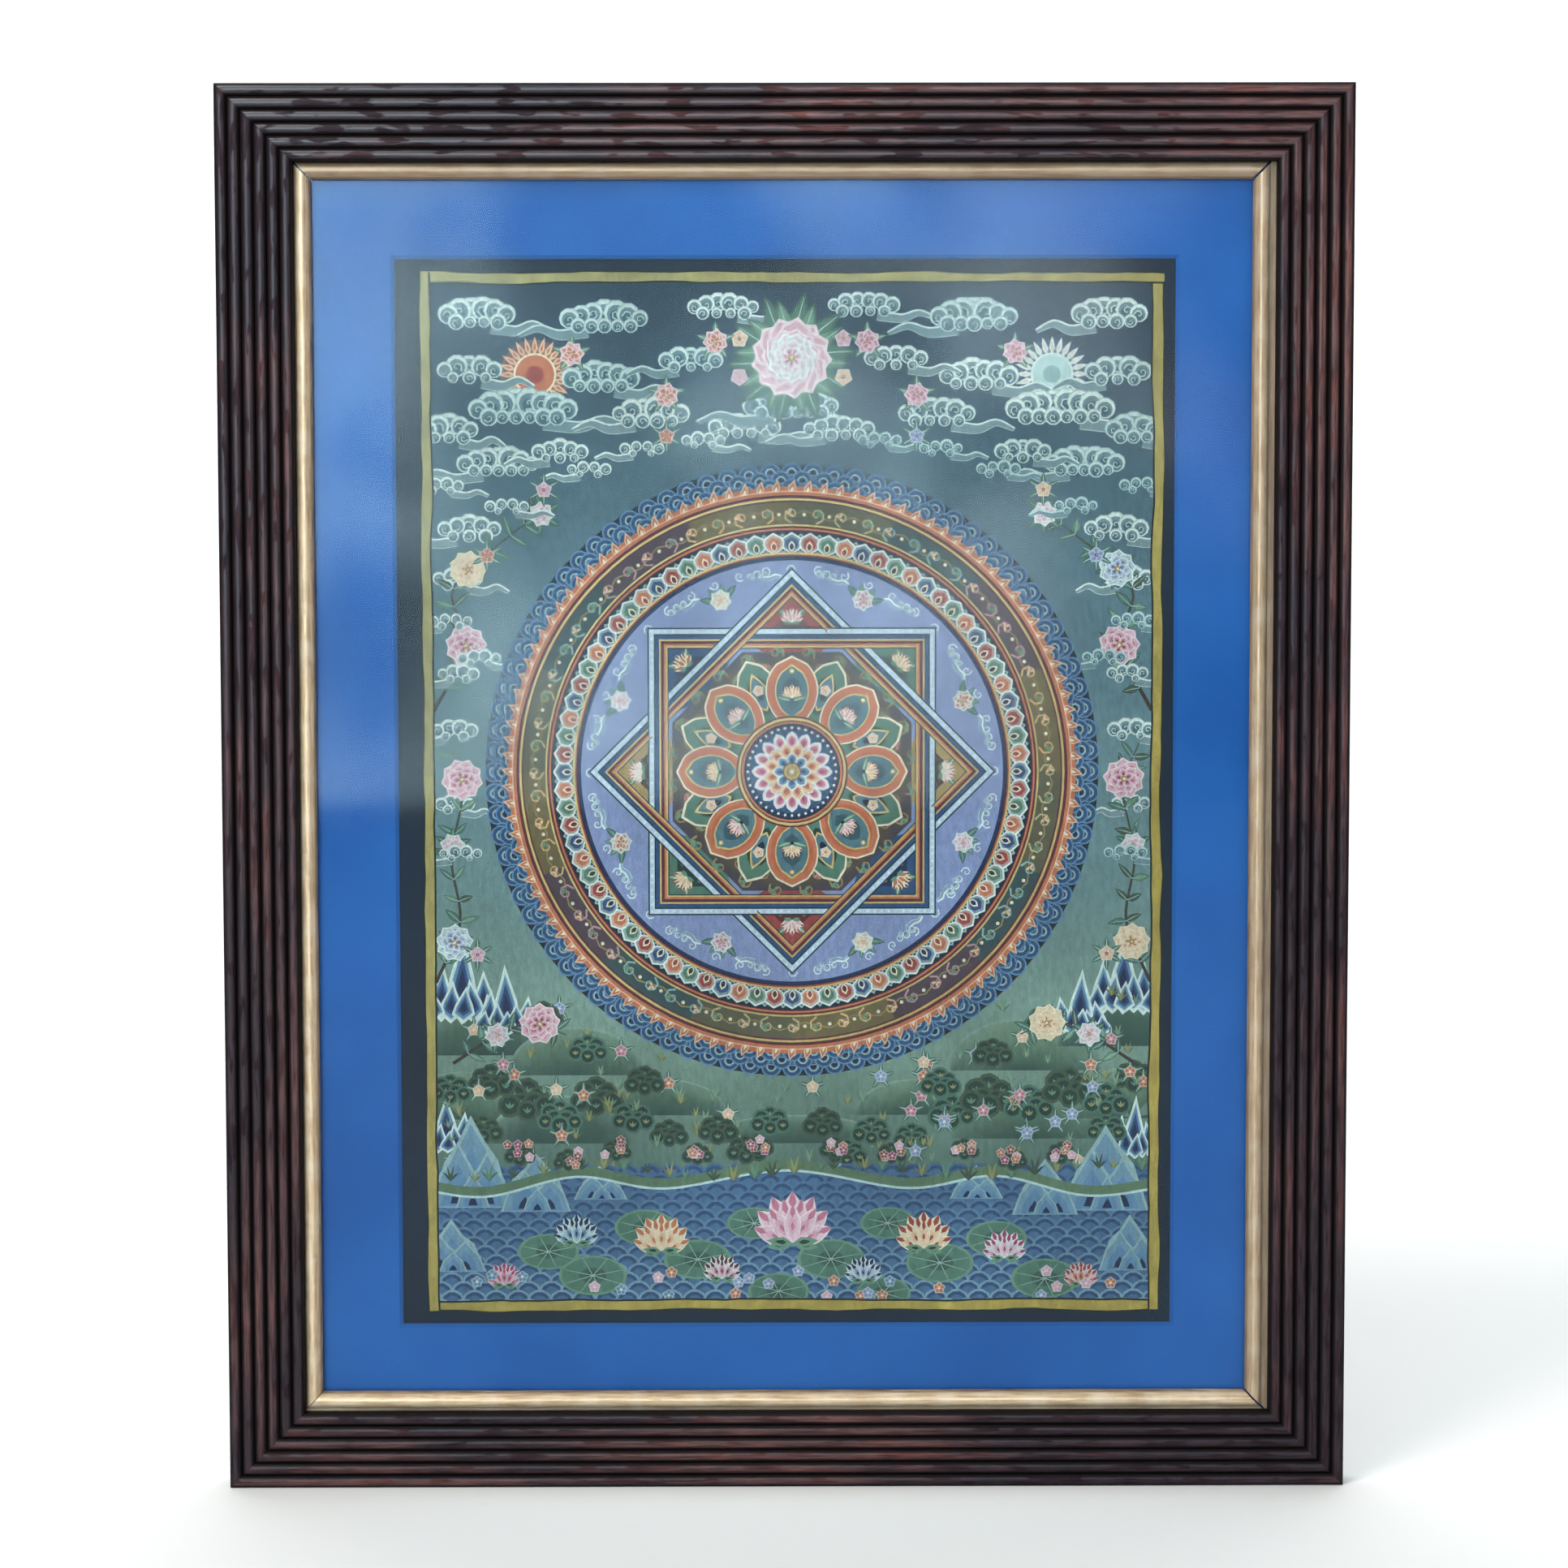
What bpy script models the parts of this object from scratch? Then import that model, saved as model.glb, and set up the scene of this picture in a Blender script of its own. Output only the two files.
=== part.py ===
"""Framed thangka painting: a painted cloth behind a blue window mount and glass, in a reeded wooden frame.

Metres, +Z up. The picture faces -Y and its back lies in the plane Y = 0, against the wall.
The origin is the middle of the top rail's back face, where the picture rests on its hook.
"""

import math

import bmesh
import bpy
from mathutils import Matrix, Vector

# Frame moulding, across and above the wall
OUTER_WIDTH = 0.550
OUTER_HEIGHT = 0.686
RAIL_FACE = 0.0375
REED_COUNT = 6
REED_RISE = 0.0024
REED_STEPS = 8
OUTER_BASE = 0.0184
SIGHT_BASE = 0.0196
RABBET_WIDTH = 0.006
LIP_UNDERSIDE = 0.0153

# Gilt slip: how far its sight edge lies from the frame's outer edge, side by side as it was set
SLIP_SIGHT = {"left": 0.0455, "right": 0.0484, "top": 0.0455, "bottom": 0.0467}
SLIP_WIDTH = 0.0135
SLIP_FOOT = 0.0120
SLIP_TONGUE = 0.0150
SLIP_SHOULDER = 0.0056
SLIP_RIDGE = 0.0101
SLIP_RIDGE_HEIGHT = 0.0182
SLIP_LIP_HEIGHT = 0.0134
SLIP_ROUND_STEPS = 6

# Gaps left at the mitres. The slip's top right mitre has opened.
MITRE_GAP = 0.0003
OPEN_MITRE_GAP = 0.0011
OPEN_MITRE = {"top", "right"}

# Layers in the rabbet, as heights above the wall, with 0.3 mm between them
LAYER_SIDE_ROOM = 0.0005
BOARD_BACK, BOARD_FRONT = 0.0030, 0.0060
CLOTH_BACK, CLOTH_FRONT = 0.0063, 0.0073
MOUNT_BACK, MOUNT_FRONT = 0.0076, 0.0094
GLASS_BACK, GLASS_FRONT = 0.0097, 0.0117

# Window in the mount, measured where the bevel meets the cloth side. It sits a little low.
WINDOW_WIDTH = 0.3800
WINDOW_HEIGHT = 0.5235
WINDOW_DROP = 0.0019
CLOTH_HIDDEN = 0.0080
CUTTER_REACH = 0.0020

# Derived places
BACK_FACE_WIDTH = RAIL_FACE - RABBET_WIDTH
TOP = BACK_FACE_WIDTH / 2
BOTTOM = TOP - OUTER_HEIGHT
CENTRE_Z = (TOP + BOTTOM) / 2
WINDOW_Z = CENTRE_Z - WINDOW_DROP
LAYER_INSET = BACK_FACE_WIDTH + LAYER_SIDE_ROOM

# Inward direction of each rail, in the picture's plane
INWARD = {
    "left": Vector((1, 0, 0)),
    "right": Vector((-1, 0, 0)),
    "top": Vector((0, 0, -1)),
    "bottom": Vector((0, 0, 1)),
}
TOWARDS_VIEWER = Vector((0, -1, 0))


def clear_scene():
    for obj in list(bpy.data.objects):
        bpy.data.objects.remove(obj)


def new_collection(name):
    collection = bpy.data.collections.new(name)
    bpy.context.scene.collection.children.link(collection)
    return collection


def material(name, colour, roughness, metallic=0.0, transmission=0.0):
    made = bpy.data.materials.new(name)
    made.use_nodes = True
    shader = made.node_tree.nodes["Principled BSDF"]
    shader.inputs["Base Color"].default_value = (*colour, 1.0)
    shader.inputs["Roughness"].default_value = roughness
    shader.inputs["Metallic"].default_value = metallic
    shader.inputs["Transmission Weight"].default_value = transmission
    return made


def rectangle(insets):
    """Edges of a rectangle that lies inside the frame's outline by its inset on each side."""
    return {
        "left": -OUTER_WIDTH / 2 + insets["left"],
        "right": OUTER_WIDTH / 2 - insets["right"],
        "top": TOP - insets["top"],
        "bottom": BOTTOM + insets["bottom"],
    }


def even(inset):
    return dict.fromkeys(INWARD, inset)


def ends_of(side):
    """The sides that a rail on this side runs between."""
    return ("left", "right") if side in ("top", "bottom") else ("bottom", "top")


def corner_at(side, end, edges):
    """The corner of a rectangle where two of its sides meet."""
    across, up = (end, side) if side in ("top", "bottom") else (side, end)
    return Vector((edges[across], 0, edges[up]))


def reeded_profile():
    """Section of the moulding: distance in from the outer edge, and height above the wall."""
    points = [(0.0, 0.0)]
    pitch = RAIL_FACE / REED_COUNT
    slope = (SIGHT_BASE - OUTER_BASE) / RAIL_FACE
    for reed in range(REED_COUNT):
        middle = (reed + 0.5) * pitch
        first = 0 if reed == 0 else 1
        for step in range(first, REED_STEPS + 1):
            turn = math.pi * step / REED_STEPS
            across = middle - pitch / 2 * math.cos(turn)
            points.append((across, OUTER_BASE + slope * across + REED_RISE * math.sin(turn)))
    points.append((RAIL_FACE, LIP_UNDERSIDE))
    points.append((BACK_FACE_WIDTH, LIP_UNDERSIDE))
    points.append((BACK_FACE_WIDTH, 0.0))
    return points


def slip_profile():
    """Section of the slip: a tongue under the lip, a rounded rise to a ridge, and a steep inner slope."""
    points = [(0.0, SLIP_FOOT), (0.0, SLIP_TONGUE), (SLIP_SHOULDER, SLIP_TONGUE)]
    for step in range(1, SLIP_ROUND_STEPS + 1):
        turn = math.pi / 2 * step / SLIP_ROUND_STEPS
        across = SLIP_SHOULDER + (SLIP_RIDGE - SLIP_SHOULDER) * (1 - math.cos(turn))
        points.append((across, SLIP_TONGUE + (SLIP_RIDGE_HEIGHT - SLIP_TONGUE) * math.sin(turn)))
    points.append((SLIP_WIDTH, SLIP_LIP_HEIGHT))
    points.append((SLIP_WIDTH, SLIP_FOOT))
    return points


def prism_mesh(name, profile, length):
    """A flat outline filled and extruded, as a mesh centred on its length."""
    curve = bpy.data.curves.new(name, "CURVE")
    curve.dimensions = "2D"
    curve.fill_mode = "BOTH"
    curve.extrude = length / 2
    spline = curve.splines.new("POLY")
    spline.points.add(len(profile) - 1)
    for point, (across, height) in zip(spline.points, profile):
        point.co = (across, height, 0.0, 1.0)
    spline.use_cyclic_u = True
    outline = bpy.data.objects.new(name, curve)
    bpy.context.scene.collection.objects.link(outline)
    graph = bpy.context.evaluated_depsgraph_get()
    mesh = bpy.data.meshes.new_from_object(outline.evaluated_get(graph))
    bpy.data.objects.remove(outline)
    return mesh


def cut_end(mesh, corner, inner_corner, gap):
    """Mitres one end of a rail, short of the line between two corners by half the mitre's gap."""
    outward = (inner_corner - corner).cross(TOWARDS_VIEWER).normalized()
    if corner.dot(outward) < 0:
        outward.negate()
    geometry = mesh.verts[:] + mesh.edges[:] + mesh.faces[:]
    cut = bmesh.ops.bisect_plane(
        mesh,
        geom=geometry,
        plane_co=corner - outward * gap / 2,
        plane_no=outward,
        clear_outer=True,
    )
    rim = [item for item in cut["geom_cut"] if isinstance(item, bmesh.types.BMEdge)]
    bmesh.ops.holes_fill(mesh, edges=rim, sides=0)


def rail(name, side, profile, outer_edges, inner_edges, gaps, finish, collection):
    """A mitred length of moulding whose section starts at the outer edges and ends at the inner."""
    ends = ends_of(side)
    corners = [corner_at(side, end, outer_edges) for end in ends]
    inner_corners = [corner_at(side, end, inner_edges) for end in ends]
    middle = (corners[0] + corners[1]) / 2
    length = (corners[1] - corners[0]).length
    inward = INWARD[side]
    along = inward.cross(TOWARDS_VIEWER)
    turn = Matrix((inward, TOWARDS_VIEWER, along)).transposed().to_4x4()

    mesh = prism_mesh(name, profile, length)
    work = bmesh.new()
    work.from_mesh(mesh)
    bmesh.ops.remove_doubles(work, verts=work.verts, dist=1e-5)
    bmesh.ops.transform(work, matrix=turn, verts=work.verts)
    for corner, inner_corner, gap in zip(corners, inner_corners, gaps):
        cut_end(work, corner - middle, inner_corner - middle, gap)
    bmesh.ops.recalc_face_normals(work, faces=work.faces)
    work.to_mesh(mesh)
    work.free()
    mesh.shade_smooth()
    mesh.set_sharp_from_angle(angle=math.radians(40))
    return add_object(name, mesh, middle, finish, collection)


def add_object(name, mesh, place, finish, collection):
    obj = bpy.data.objects.new(name, mesh)
    obj.location = place
    mesh.materials.clear()
    if finish:
        mesh.materials.append(finish)
    collection.objects.link(obj)
    return obj


def slab(name, width, height, middle_z, back, front, finish, collection):
    """A flat upright layer of the picture, between two heights above the wall."""
    work = bmesh.new()
    bmesh.ops.create_cube(work, size=1.0)
    bmesh.ops.scale(work, verts=work.verts, vec=(width, front - back, height))
    mesh = bpy.data.meshes.new(name)
    work.to_mesh(mesh)
    work.free()
    place = Vector((0, -(back + front) / 2, middle_z))
    return add_object(name, mesh, place, finish, collection)


def window_cutter(collection):
    """A wedge-sided block that cuts the mount's window and leaves its edges bevelled at 45 degrees."""
    back = MOUNT_BACK - CUTTER_REACH
    front = MOUNT_FRONT + CUTTER_REACH
    cutter = slab(
        "window_cutter", WINDOW_WIDTH, WINDOW_HEIGHT, WINDOW_Z, back, front, None, collection
    )
    for vertex in cutter.data.vertices:
        bevel = CUTTER_REACH + (MOUNT_FRONT - MOUNT_BACK) if vertex.co.y < 0 else -CUTTER_REACH
        vertex.co.x += math.copysign(bevel, vertex.co.x)
        vertex.co.z += math.copysign(bevel, vertex.co.z)
    cutter.hide_render = True
    cutter.display_type = "WIRE"
    return cutter


def build():
    clear_scene()
    parts = new_collection("framed_thangka")
    helpers = new_collection("cutters")
    stained_wood = material("stained_wood", (0.045, 0.022, 0.020), 0.38)
    gilding = material("gilding", (0.58, 0.44, 0.22), 0.36, metallic=0.7)
    blue_board = material("blue_board", (0.03, 0.12, 0.42), 0.85)
    pane = material("pane", (0.90, 0.96, 0.95), 0.02, transmission=1.0)
    painted_cotton = material("painted_cotton", (0.13, 0.20, 0.22), 0.75)
    hardboard = material("hardboard", (0.30, 0.18, 0.10), 0.80)

    frame_outline = rectangle(even(0.0))
    frame_sight = rectangle(even(RAIL_FACE))
    slip_outline = rectangle({side: inset - SLIP_WIDTH for side, inset in SLIP_SIGHT.items()})
    slip_sight = rectangle(SLIP_SIGHT)
    for side in INWARD:
        tight = [MITRE_GAP, MITRE_GAP]
        slip_gaps = [
            OPEN_MITRE_GAP if {side, end} == OPEN_MITRE else MITRE_GAP for end in ends_of(side)
        ]
        rail(
            f"rail_{side}", side, reeded_profile(), frame_outline, frame_sight, tight,
            stained_wood, parts,
        )
        rail(
            f"slip_{side}", side, slip_profile(), slip_outline, slip_sight, slip_gaps,
            gilding, parts,
        )

    layer = (OUTER_WIDTH - 2 * LAYER_INSET, OUTER_HEIGHT - 2 * LAYER_INSET, CENTRE_Z)
    cloth = (WINDOW_WIDTH + 2 * CLOTH_HIDDEN, WINDOW_HEIGHT + 2 * CLOTH_HIDDEN, WINDOW_Z)
    slab("back_board", *layer, BOARD_BACK, BOARD_FRONT, hardboard, parts)
    slab("painted_cloth", *cloth, CLOTH_BACK, CLOTH_FRONT, painted_cotton, parts)
    mount = slab("window_mount", *layer, MOUNT_BACK, MOUNT_FRONT, blue_board, parts)
    cut = mount.modifiers.new("window", "BOOLEAN")
    cut.operation = "DIFFERENCE"
    cut.object = window_cutter(helpers)
    slab("glass_pane", *layer, GLASS_BACK, GLASS_FRONT, pane, parts)


build()
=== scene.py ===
# %% [markdown]
# This lesson builds a framed thangka, a painting on cotton cloth, as it hangs behind glass.
# The plain CAD model comes first, as a fixed frame in metres. The picture faces -Y, +Z is up,
# and the wall plane is Y = 0. Every finer piece below takes its place from the CAD parts, so
# nothing has to be fitted by eye afterwards.

# %% Load the CAD frame
import math
import random

import bmesh
import bpy
import numpy as np
from mathutils import Matrix, Vector, noise
from mathutils.bvhtree import BVHTree
from mathutils.geometry import delaunay_2d_cdt


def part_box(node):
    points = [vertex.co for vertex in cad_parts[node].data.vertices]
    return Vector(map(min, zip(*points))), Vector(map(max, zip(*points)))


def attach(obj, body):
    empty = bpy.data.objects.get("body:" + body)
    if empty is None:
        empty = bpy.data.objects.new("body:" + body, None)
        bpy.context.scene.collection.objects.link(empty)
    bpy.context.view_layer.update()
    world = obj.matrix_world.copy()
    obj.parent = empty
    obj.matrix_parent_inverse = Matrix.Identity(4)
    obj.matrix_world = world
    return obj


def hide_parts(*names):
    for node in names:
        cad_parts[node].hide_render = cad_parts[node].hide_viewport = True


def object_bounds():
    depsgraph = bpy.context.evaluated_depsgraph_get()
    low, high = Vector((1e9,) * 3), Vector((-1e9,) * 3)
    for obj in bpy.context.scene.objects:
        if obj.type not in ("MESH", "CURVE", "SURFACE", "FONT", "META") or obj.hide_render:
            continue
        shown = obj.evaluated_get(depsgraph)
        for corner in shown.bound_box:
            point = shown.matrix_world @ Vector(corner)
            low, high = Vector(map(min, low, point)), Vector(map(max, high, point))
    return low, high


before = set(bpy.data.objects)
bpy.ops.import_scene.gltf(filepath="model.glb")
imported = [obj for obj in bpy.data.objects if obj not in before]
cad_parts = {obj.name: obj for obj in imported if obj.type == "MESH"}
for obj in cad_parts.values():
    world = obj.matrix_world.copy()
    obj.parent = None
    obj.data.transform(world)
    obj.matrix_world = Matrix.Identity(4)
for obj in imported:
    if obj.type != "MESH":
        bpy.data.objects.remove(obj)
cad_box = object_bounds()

print("CAD parts:", ", ".join(sorted(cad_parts)))
print("CAD box:", [[round(value, 4) for value in corner] for corner in cad_box])

# %% [markdown]
# The camera stands where the photographer stood: 1.6 m in front, a little above the middle and
# tipped down by 3.6 degrees, with a lens that is short of 75 mm. Its place was solved from the
# corners of the frame, of the slip and of the window. It comes first, so every later step can
# be checked through it.

# %% Camera
CAMERA_PLACE = Vector((-0.0073, -1.5985, -0.2236))
CAMERA_TILT = math.radians(3.581)
CAMERA_TURN = math.radians(-0.229)
CAMERA_ROLL = math.radians(-0.085)

camera = bpy.data.objects.new("camera", bpy.data.cameras.new("camera"))
camera.data.sensor_width = 36.0
camera.data.lens = 74.53
camera.matrix_world = (
    Matrix.Translation(CAMERA_PLACE)
    @ Matrix.Rotation(CAMERA_TURN, 4, "Z")
    @ Matrix.Rotation(math.pi / 2 - CAMERA_TILT, 4, "X")
    @ Matrix.Rotation(CAMERA_ROLL, 4, "Z")
)
bpy.context.collection.objects.link(camera)
bpy.context.scene.camera = camera
print("Camera is", round(-CAMERA_PLACE.y, 2), "m from the wall plane")

# %% [markdown]
# Short helpers come next. A material here is a small network of nodes, and writing each link
# out in full would hide the recipe, so Recipe adds a node and its links in one call. Patterns
# read Object coordinates, which are metres on the real object: a pattern keeps its true scale
# and stays on the piece from every side.

# %% Helpers for materials
class Recipe:
    """A material or a sky, with short ways to add nodes to it."""

    def __init__(self, name, owners=bpy.data.materials, place="Object"):
        self.material = owners.new(name)
        self.material.use_nodes = True
        self.tree = self.material.node_tree
        self.shader = self.tree.nodes.get("Principled BSDF")
        self.place = self.tree.nodes.new("ShaderNodeTexCoord").outputs[place]

    def feed(self, socket, value):
        if isinstance(value, bpy.types.NodeSocket):
            self.tree.links.new(value, socket)
        else:
            socket.default_value = value

    def node(self, kind, inputs, output=0, **settings):
        made = self.tree.nodes.new("ShaderNode" + kind)
        for key, value in settings.items():
            setattr(made, key, value)
        for socket, value in inputs.items():
            self.feed(made.inputs[socket], value)
        return made.outputs[output]

    def stretched(self, scale, turn=(0, 0, 0)):
        return self.node("Mapping", {"Vector": self.place, "Scale": scale, "Rotation": turn})

    def noise(self, where, scale, detail=3.0, roughness=0.5, distortion=0.0):
        inputs = {"Vector": where, "Scale": scale, "Detail": detail, "Roughness": roughness}
        inputs["Distortion"] = distortion
        return self.node("TexNoise", inputs)

    def spread(self, value, low, high, to_low=0.0, to_high=1.0):
        """Value from low to high becomes to_low to to_high, and stays inside them."""
        inputs = {"Value": value, "From Min": low, "From Max": high}
        inputs.update({"To Min": to_low, "To Max": to_high})
        return self.node("MapRange", inputs, interpolation_type="SMOOTHSTEP")

    def sum(self, first, second, operation="ADD"):
        return self.node("Math", {0: first, 1: second}, operation=operation)

    def mix(self, share, first, second, blend="MIX"):
        first, second = [(*c, 1) if isinstance(c, tuple) else c for c in (first, second)]
        inputs = {0: share, 6: first, 7: second}
        return self.node("Mix", inputs, output=2, data_type="RGBA", blend_type=blend)

    def stored(self, name, output="Fac"):
        return self.node("Attribute", {}, output=output, attribute_name=name)

    def bump(self, height, depth, under=None):
        """A bump of that depth in metres where height goes from 0 to 1."""
        inputs = {"Height": height, "Distance": depth, "Strength": 1.0}
        if under is not None:
            inputs["Normal"] = under
        return self.node("Bump", inputs)

    def finish(self, **inputs):
        names = {"colour": "Base Color", "rough": "Roughness", "normal": "Normal", "metal": "Metallic"}
        names["coat"] = "Coat Weight"
        for key, value in inputs.items():
            value = (*value, 1) if key == "colour" and isinstance(value, tuple) else value
            self.feed(self.shader.inputs[names.get(key, key)], value)
        return self.material


# %% Helpers for pieces
def piece(name, work, finish, slot, *stands_for, smooth_below=40):
    """Turns a bmesh into a finished piece that rides on the picture."""
    bmesh.ops.recalc_face_normals(work, faces=work.faces)
    mesh = bpy.data.meshes.new(name)
    work.to_mesh(mesh)
    work.free()
    mesh.shade_smooth()
    mesh.set_sharp_from_angle(angle=math.radians(smooth_below))
    mesh.materials.append(finish)
    made = bpy.data.objects.new(name, mesh)
    bpy.context.collection.objects.link(made)
    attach(made, "root")
    if stands_for:
        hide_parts(*stands_for)
    print(name, "has", len(mesh.polygons), "faces")
    return made


def height_above_wall(vertex):
    return -vertex.co.y


# %% [markdown]
# The studio is a pale floor under the frame that curves up into a backdrop a few metres behind
# it. A point is extruded along the floor, spun through a quarter turn and extruded upwards, and
# the line that this leaves is extruded sideways.

# %% Floor and backdrop
FLOOR_Z = cad_box[0][2]
FLOOR_FRONT = -5.0
CURVE_START = 2.6
CURVE_RADIUS = 1.6
STAGE_HALF_WIDTH = 7.0


def build_stage():
    work = bmesh.new()
    start = work.verts.new((-STAGE_HALF_WIDTH, FLOOR_FRONT, FLOOR_Z))
    drawn = bmesh.ops.extrude_vert_indiv(work, verts=[start])["verts"]
    bmesh.ops.translate(work, verts=drawn, vec=(0, CURVE_START - FLOOR_FRONT, 0))
    centre = (-STAGE_HALF_WIDTH, CURVE_START, FLOOR_Z + CURVE_RADIUS)
    turned = bmesh.ops.spin(
        work, geom=drawn, cent=centre, axis=(1, 0, 0), dvec=(0, 0, 0), angle=math.pi / 2, steps=24
    )["geom_last"]
    up = bmesh.ops.extrude_vert_indiv(
        work, verts=[v for v in turned if isinstance(v, bmesh.types.BMVert)],
    )
    bmesh.ops.translate(work, verts=up["verts"], vec=(0, 0, 3.0))
    wide = bmesh.ops.extrude_edge_only(work, edges=work.edges[:])["geom"]
    points = [item for item in wide if isinstance(item, bmesh.types.BMVert)]
    bmesh.ops.translate(work, verts=points, vec=(2 * STAGE_HALF_WIDTH, 0, 0))
    mesh = bpy.data.meshes.new("studio_floor")
    work.to_mesh(mesh)
    work.free()
    mesh.shade_smooth()
    paint = Recipe("studio_paint")
    cloudy = paint.noise(paint.place, 1.3, 2.0)
    colour = paint.mix(cloudy, (0.80, 0.80, 0.80), (0.84, 0.84, 0.83))
    mesh.materials.append(paint.finish(colour=colour, rough=0.85))
    floor = bpy.data.objects.new("studio_floor", mesh)
    bpy.context.collection.objects.link(floor)
    return floor


build_stage()
print("Floor at", round(FLOOR_Z, 4), "m")

# %% [markdown]
# The light is soft and comes from above, a little from the left. One large warm lamp does most
# of it, and the sky fills the rest. The glass in front of the painting mirrors what stands
# behind the camera, so the sky there is dark but for one soft bluish patch up on the left, which
# shows as the haze that real glass has.

# %% Light
def lamp(name, place, aim, size, power, colour):
    light = bpy.data.lights.new(name, "AREA")
    light.size = size
    light.energy = power
    light.color = colour
    made = bpy.data.objects.new(name, light)
    made.location = place
    made.rotation_euler = (Vector(aim) - Vector(place)).to_track_quat("-Z", "Y").to_euler()
    bpy.context.collection.objects.link(made)


lamp("key_lamp", (-1.2, -1.6, 1.8), (0, 0, -0.3), 1.0, 58, (1.0, 0.96, 0.90))
lamp("fill_lamp", (1.9, -2.2, 0.6), (0, 0, -0.3), 1.6, 12, (0.92, 0.96, 1.0))
lamp("backdrop_lamp", (0, 1.2, 2.6), (0, 3.6, 0.2), 2.4, 90, (1.0, 1.0, 1.0))

PATCH_AZIMUTH = -12.0
PATCH_ELEVATION = 9.0
PATCH_EDGES = (0.915, 0.985)
PATCH_RADIANCE = 13.0
WISP_SCALE = 13.0
SKY_FRONT = 0.22
SKY_BACK = 0.9


def build_sky():
    sky = Recipe("studio_sky", bpy.data.worlds, "Generated")
    azimuth, elevation = math.radians(PATCH_AZIMUTH), math.radians(PATCH_ELEVATION)
    centre = (
        math.sin(azimuth) * math.cos(elevation),
        -math.cos(azimuth) * math.cos(elevation),
        math.sin(elevation),
    )
    wisps = sky.noise(sky.place, WISP_SCALE, 4.0, 0.5, 0.4)
    nearness = sky.node("VectorMath", {0: sky.place, 1: centre}, 1, operation="DOT_PRODUCT")
    patch = sky.spread(nearness, *PATCH_EDGES)
    broken = sky.sum(patch, sky.spread(wisps, 0.40, 0.60, 0.18, 1.0), "MULTIPLY")
    depth = sky.node("SeparateXYZ", {0: sky.place}, 1)
    back = sky.spread(depth, -0.2, 0.6, SKY_FRONT, SKY_BACK)
    tint = sky.mix(patch, (1.0, 1.0, 1.0), (0.66, 0.90, 1.0))
    strength = sky.sum(sky.sum(broken, PATCH_RADIANCE, "MULTIPLY"), back)
    light = sky.node("Background", {"Color": tint, "Strength": strength})
    plain = sky.node("Background", {"Color": (0.86, 0.86, 0.86, 1), "Strength": 1.0})
    seen = sky.node("LightPath", {}, "Is Camera Ray")
    both = sky.node("MixShader", {0: seen, 1: light, 2: plain})
    outputs = [node for node in sky.tree.nodes if node.type == "OUTPUT_WORLD"]
    sky.feed(outputs[0].inputs["Surface"], both)
    return sky.material


bpy.context.scene.world = build_sky()
bpy.context.scene.view_settings.view_transform = "Standard"
print("Sky patch at", PATCH_AZIMUTH, "and", PATCH_ELEVATION, "degrees")

# %% [markdown]
# The moulding is a reeded one: six half-round reeds side by side on a base that rises slightly
# to the inside. A real one is run through a cutter, and an extruded section is the same thing.
# One reed is a point spun through half a turn and flattened, and five copies stand beside it.
# The back is drawn by extruding the last point, the closed section is extruded along the rail,
# and cutting with a plane at 45 degrees leaves the mitre.

# %% Sizes of the moulding and slip
REEDS = 6
RAIL_FACE = 0.0375
REED_RISE = 0.0024
OUTER_BASE = 0.0184
SIGHT_BASE = 0.0196
LIP_UNDERSIDE = 0.0153
BACK_FACE = 0.0315
REED_STEPS = 10
LENGTH_CUTS = 150

low, high = cad_box
OUTLINE = {"left": low[0], "right": high[0], "bottom": low[2], "top": high[2]}
INWARD = {
    "left": Vector((1, 0, 0)),
    "right": Vector((-1, 0, 0)),
    "top": Vector((0, 0, -1)),
    "bottom": Vector((0, 0, 1)),
}
TOWARDS_VIEWER = Vector((0, -1, 0))
ENDS = {"top": ("left", "right"), "bottom": ("left", "right")}
ENDS.update({"left": ("bottom", "top"), "right": ("bottom", "top")})
print("Rails run round", [round(OUTLINE[side], 4) for side in ("left", "right", "bottom", "top")])


# %% Section of the moulding
def draw_on(work, point, places):
    """Extrudes a point from place to place and returns the last one."""
    for across, height in places:
        new = bmesh.ops.extrude_vert_indiv(work, verts=[point])["verts"][0]
        new.co = (across, height, 0)
        point = new
    return point


# Crest runs from 0 in a groove to 1 on a crest, and the plain sides and back have a value too.
BARE_BACK = 0.86


def reeded_section(work):
    pitch = RAIL_FACE / REEDS
    layer = work.verts.layers.float.new("crest")
    first = work.verts.new((0, 0, 0))
    bmesh.ops.spin(
        work, geom=[first], cent=(pitch / 2, 0, 0), axis=(0, 0, -1), dvec=(0, 0, 0),
        angle=math.pi, steps=REED_STEPS,
    )
    bmesh.ops.scale(work, verts=work.verts, vec=(1, REED_RISE / (pitch / 2), 1))
    reed = work.verts[:] + work.edges[:]
    for step in range(1, REEDS):
        copied = bmesh.ops.duplicate(work, geom=reed)["geom"]
        points = [item for item in copied if isinstance(item, bmesh.types.BMVert)]
        bmesh.ops.translate(work, verts=points, vec=(step * pitch, 0, 0))
    bmesh.ops.remove_doubles(work, verts=work.verts, dist=1e-6)
    rise = (SIGHT_BASE - OUTER_BASE) / RAIL_FACE
    for vertex in work.verts:
        vertex[layer] = vertex.co.y / REED_RISE
        vertex.co.y += OUTER_BASE + rise * vertex.co.x
    ends = sorted(work.verts, key=lambda vertex: vertex.co.x)
    outer, sight = ends[0], ends[-1]
    back = [(RAIL_FACE, LIP_UNDERSIDE), (BACK_FACE, LIP_UNDERSIDE), (BACK_FACE, 0), (0, 0)]
    last = draw_on(work, sight, back)
    work.edges.new((last, outer))
    for vertex in work.verts:
        if vertex.co.y < LIP_UNDERSIDE + 1e-6:
            vertex[layer] = BARE_BACK


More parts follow.
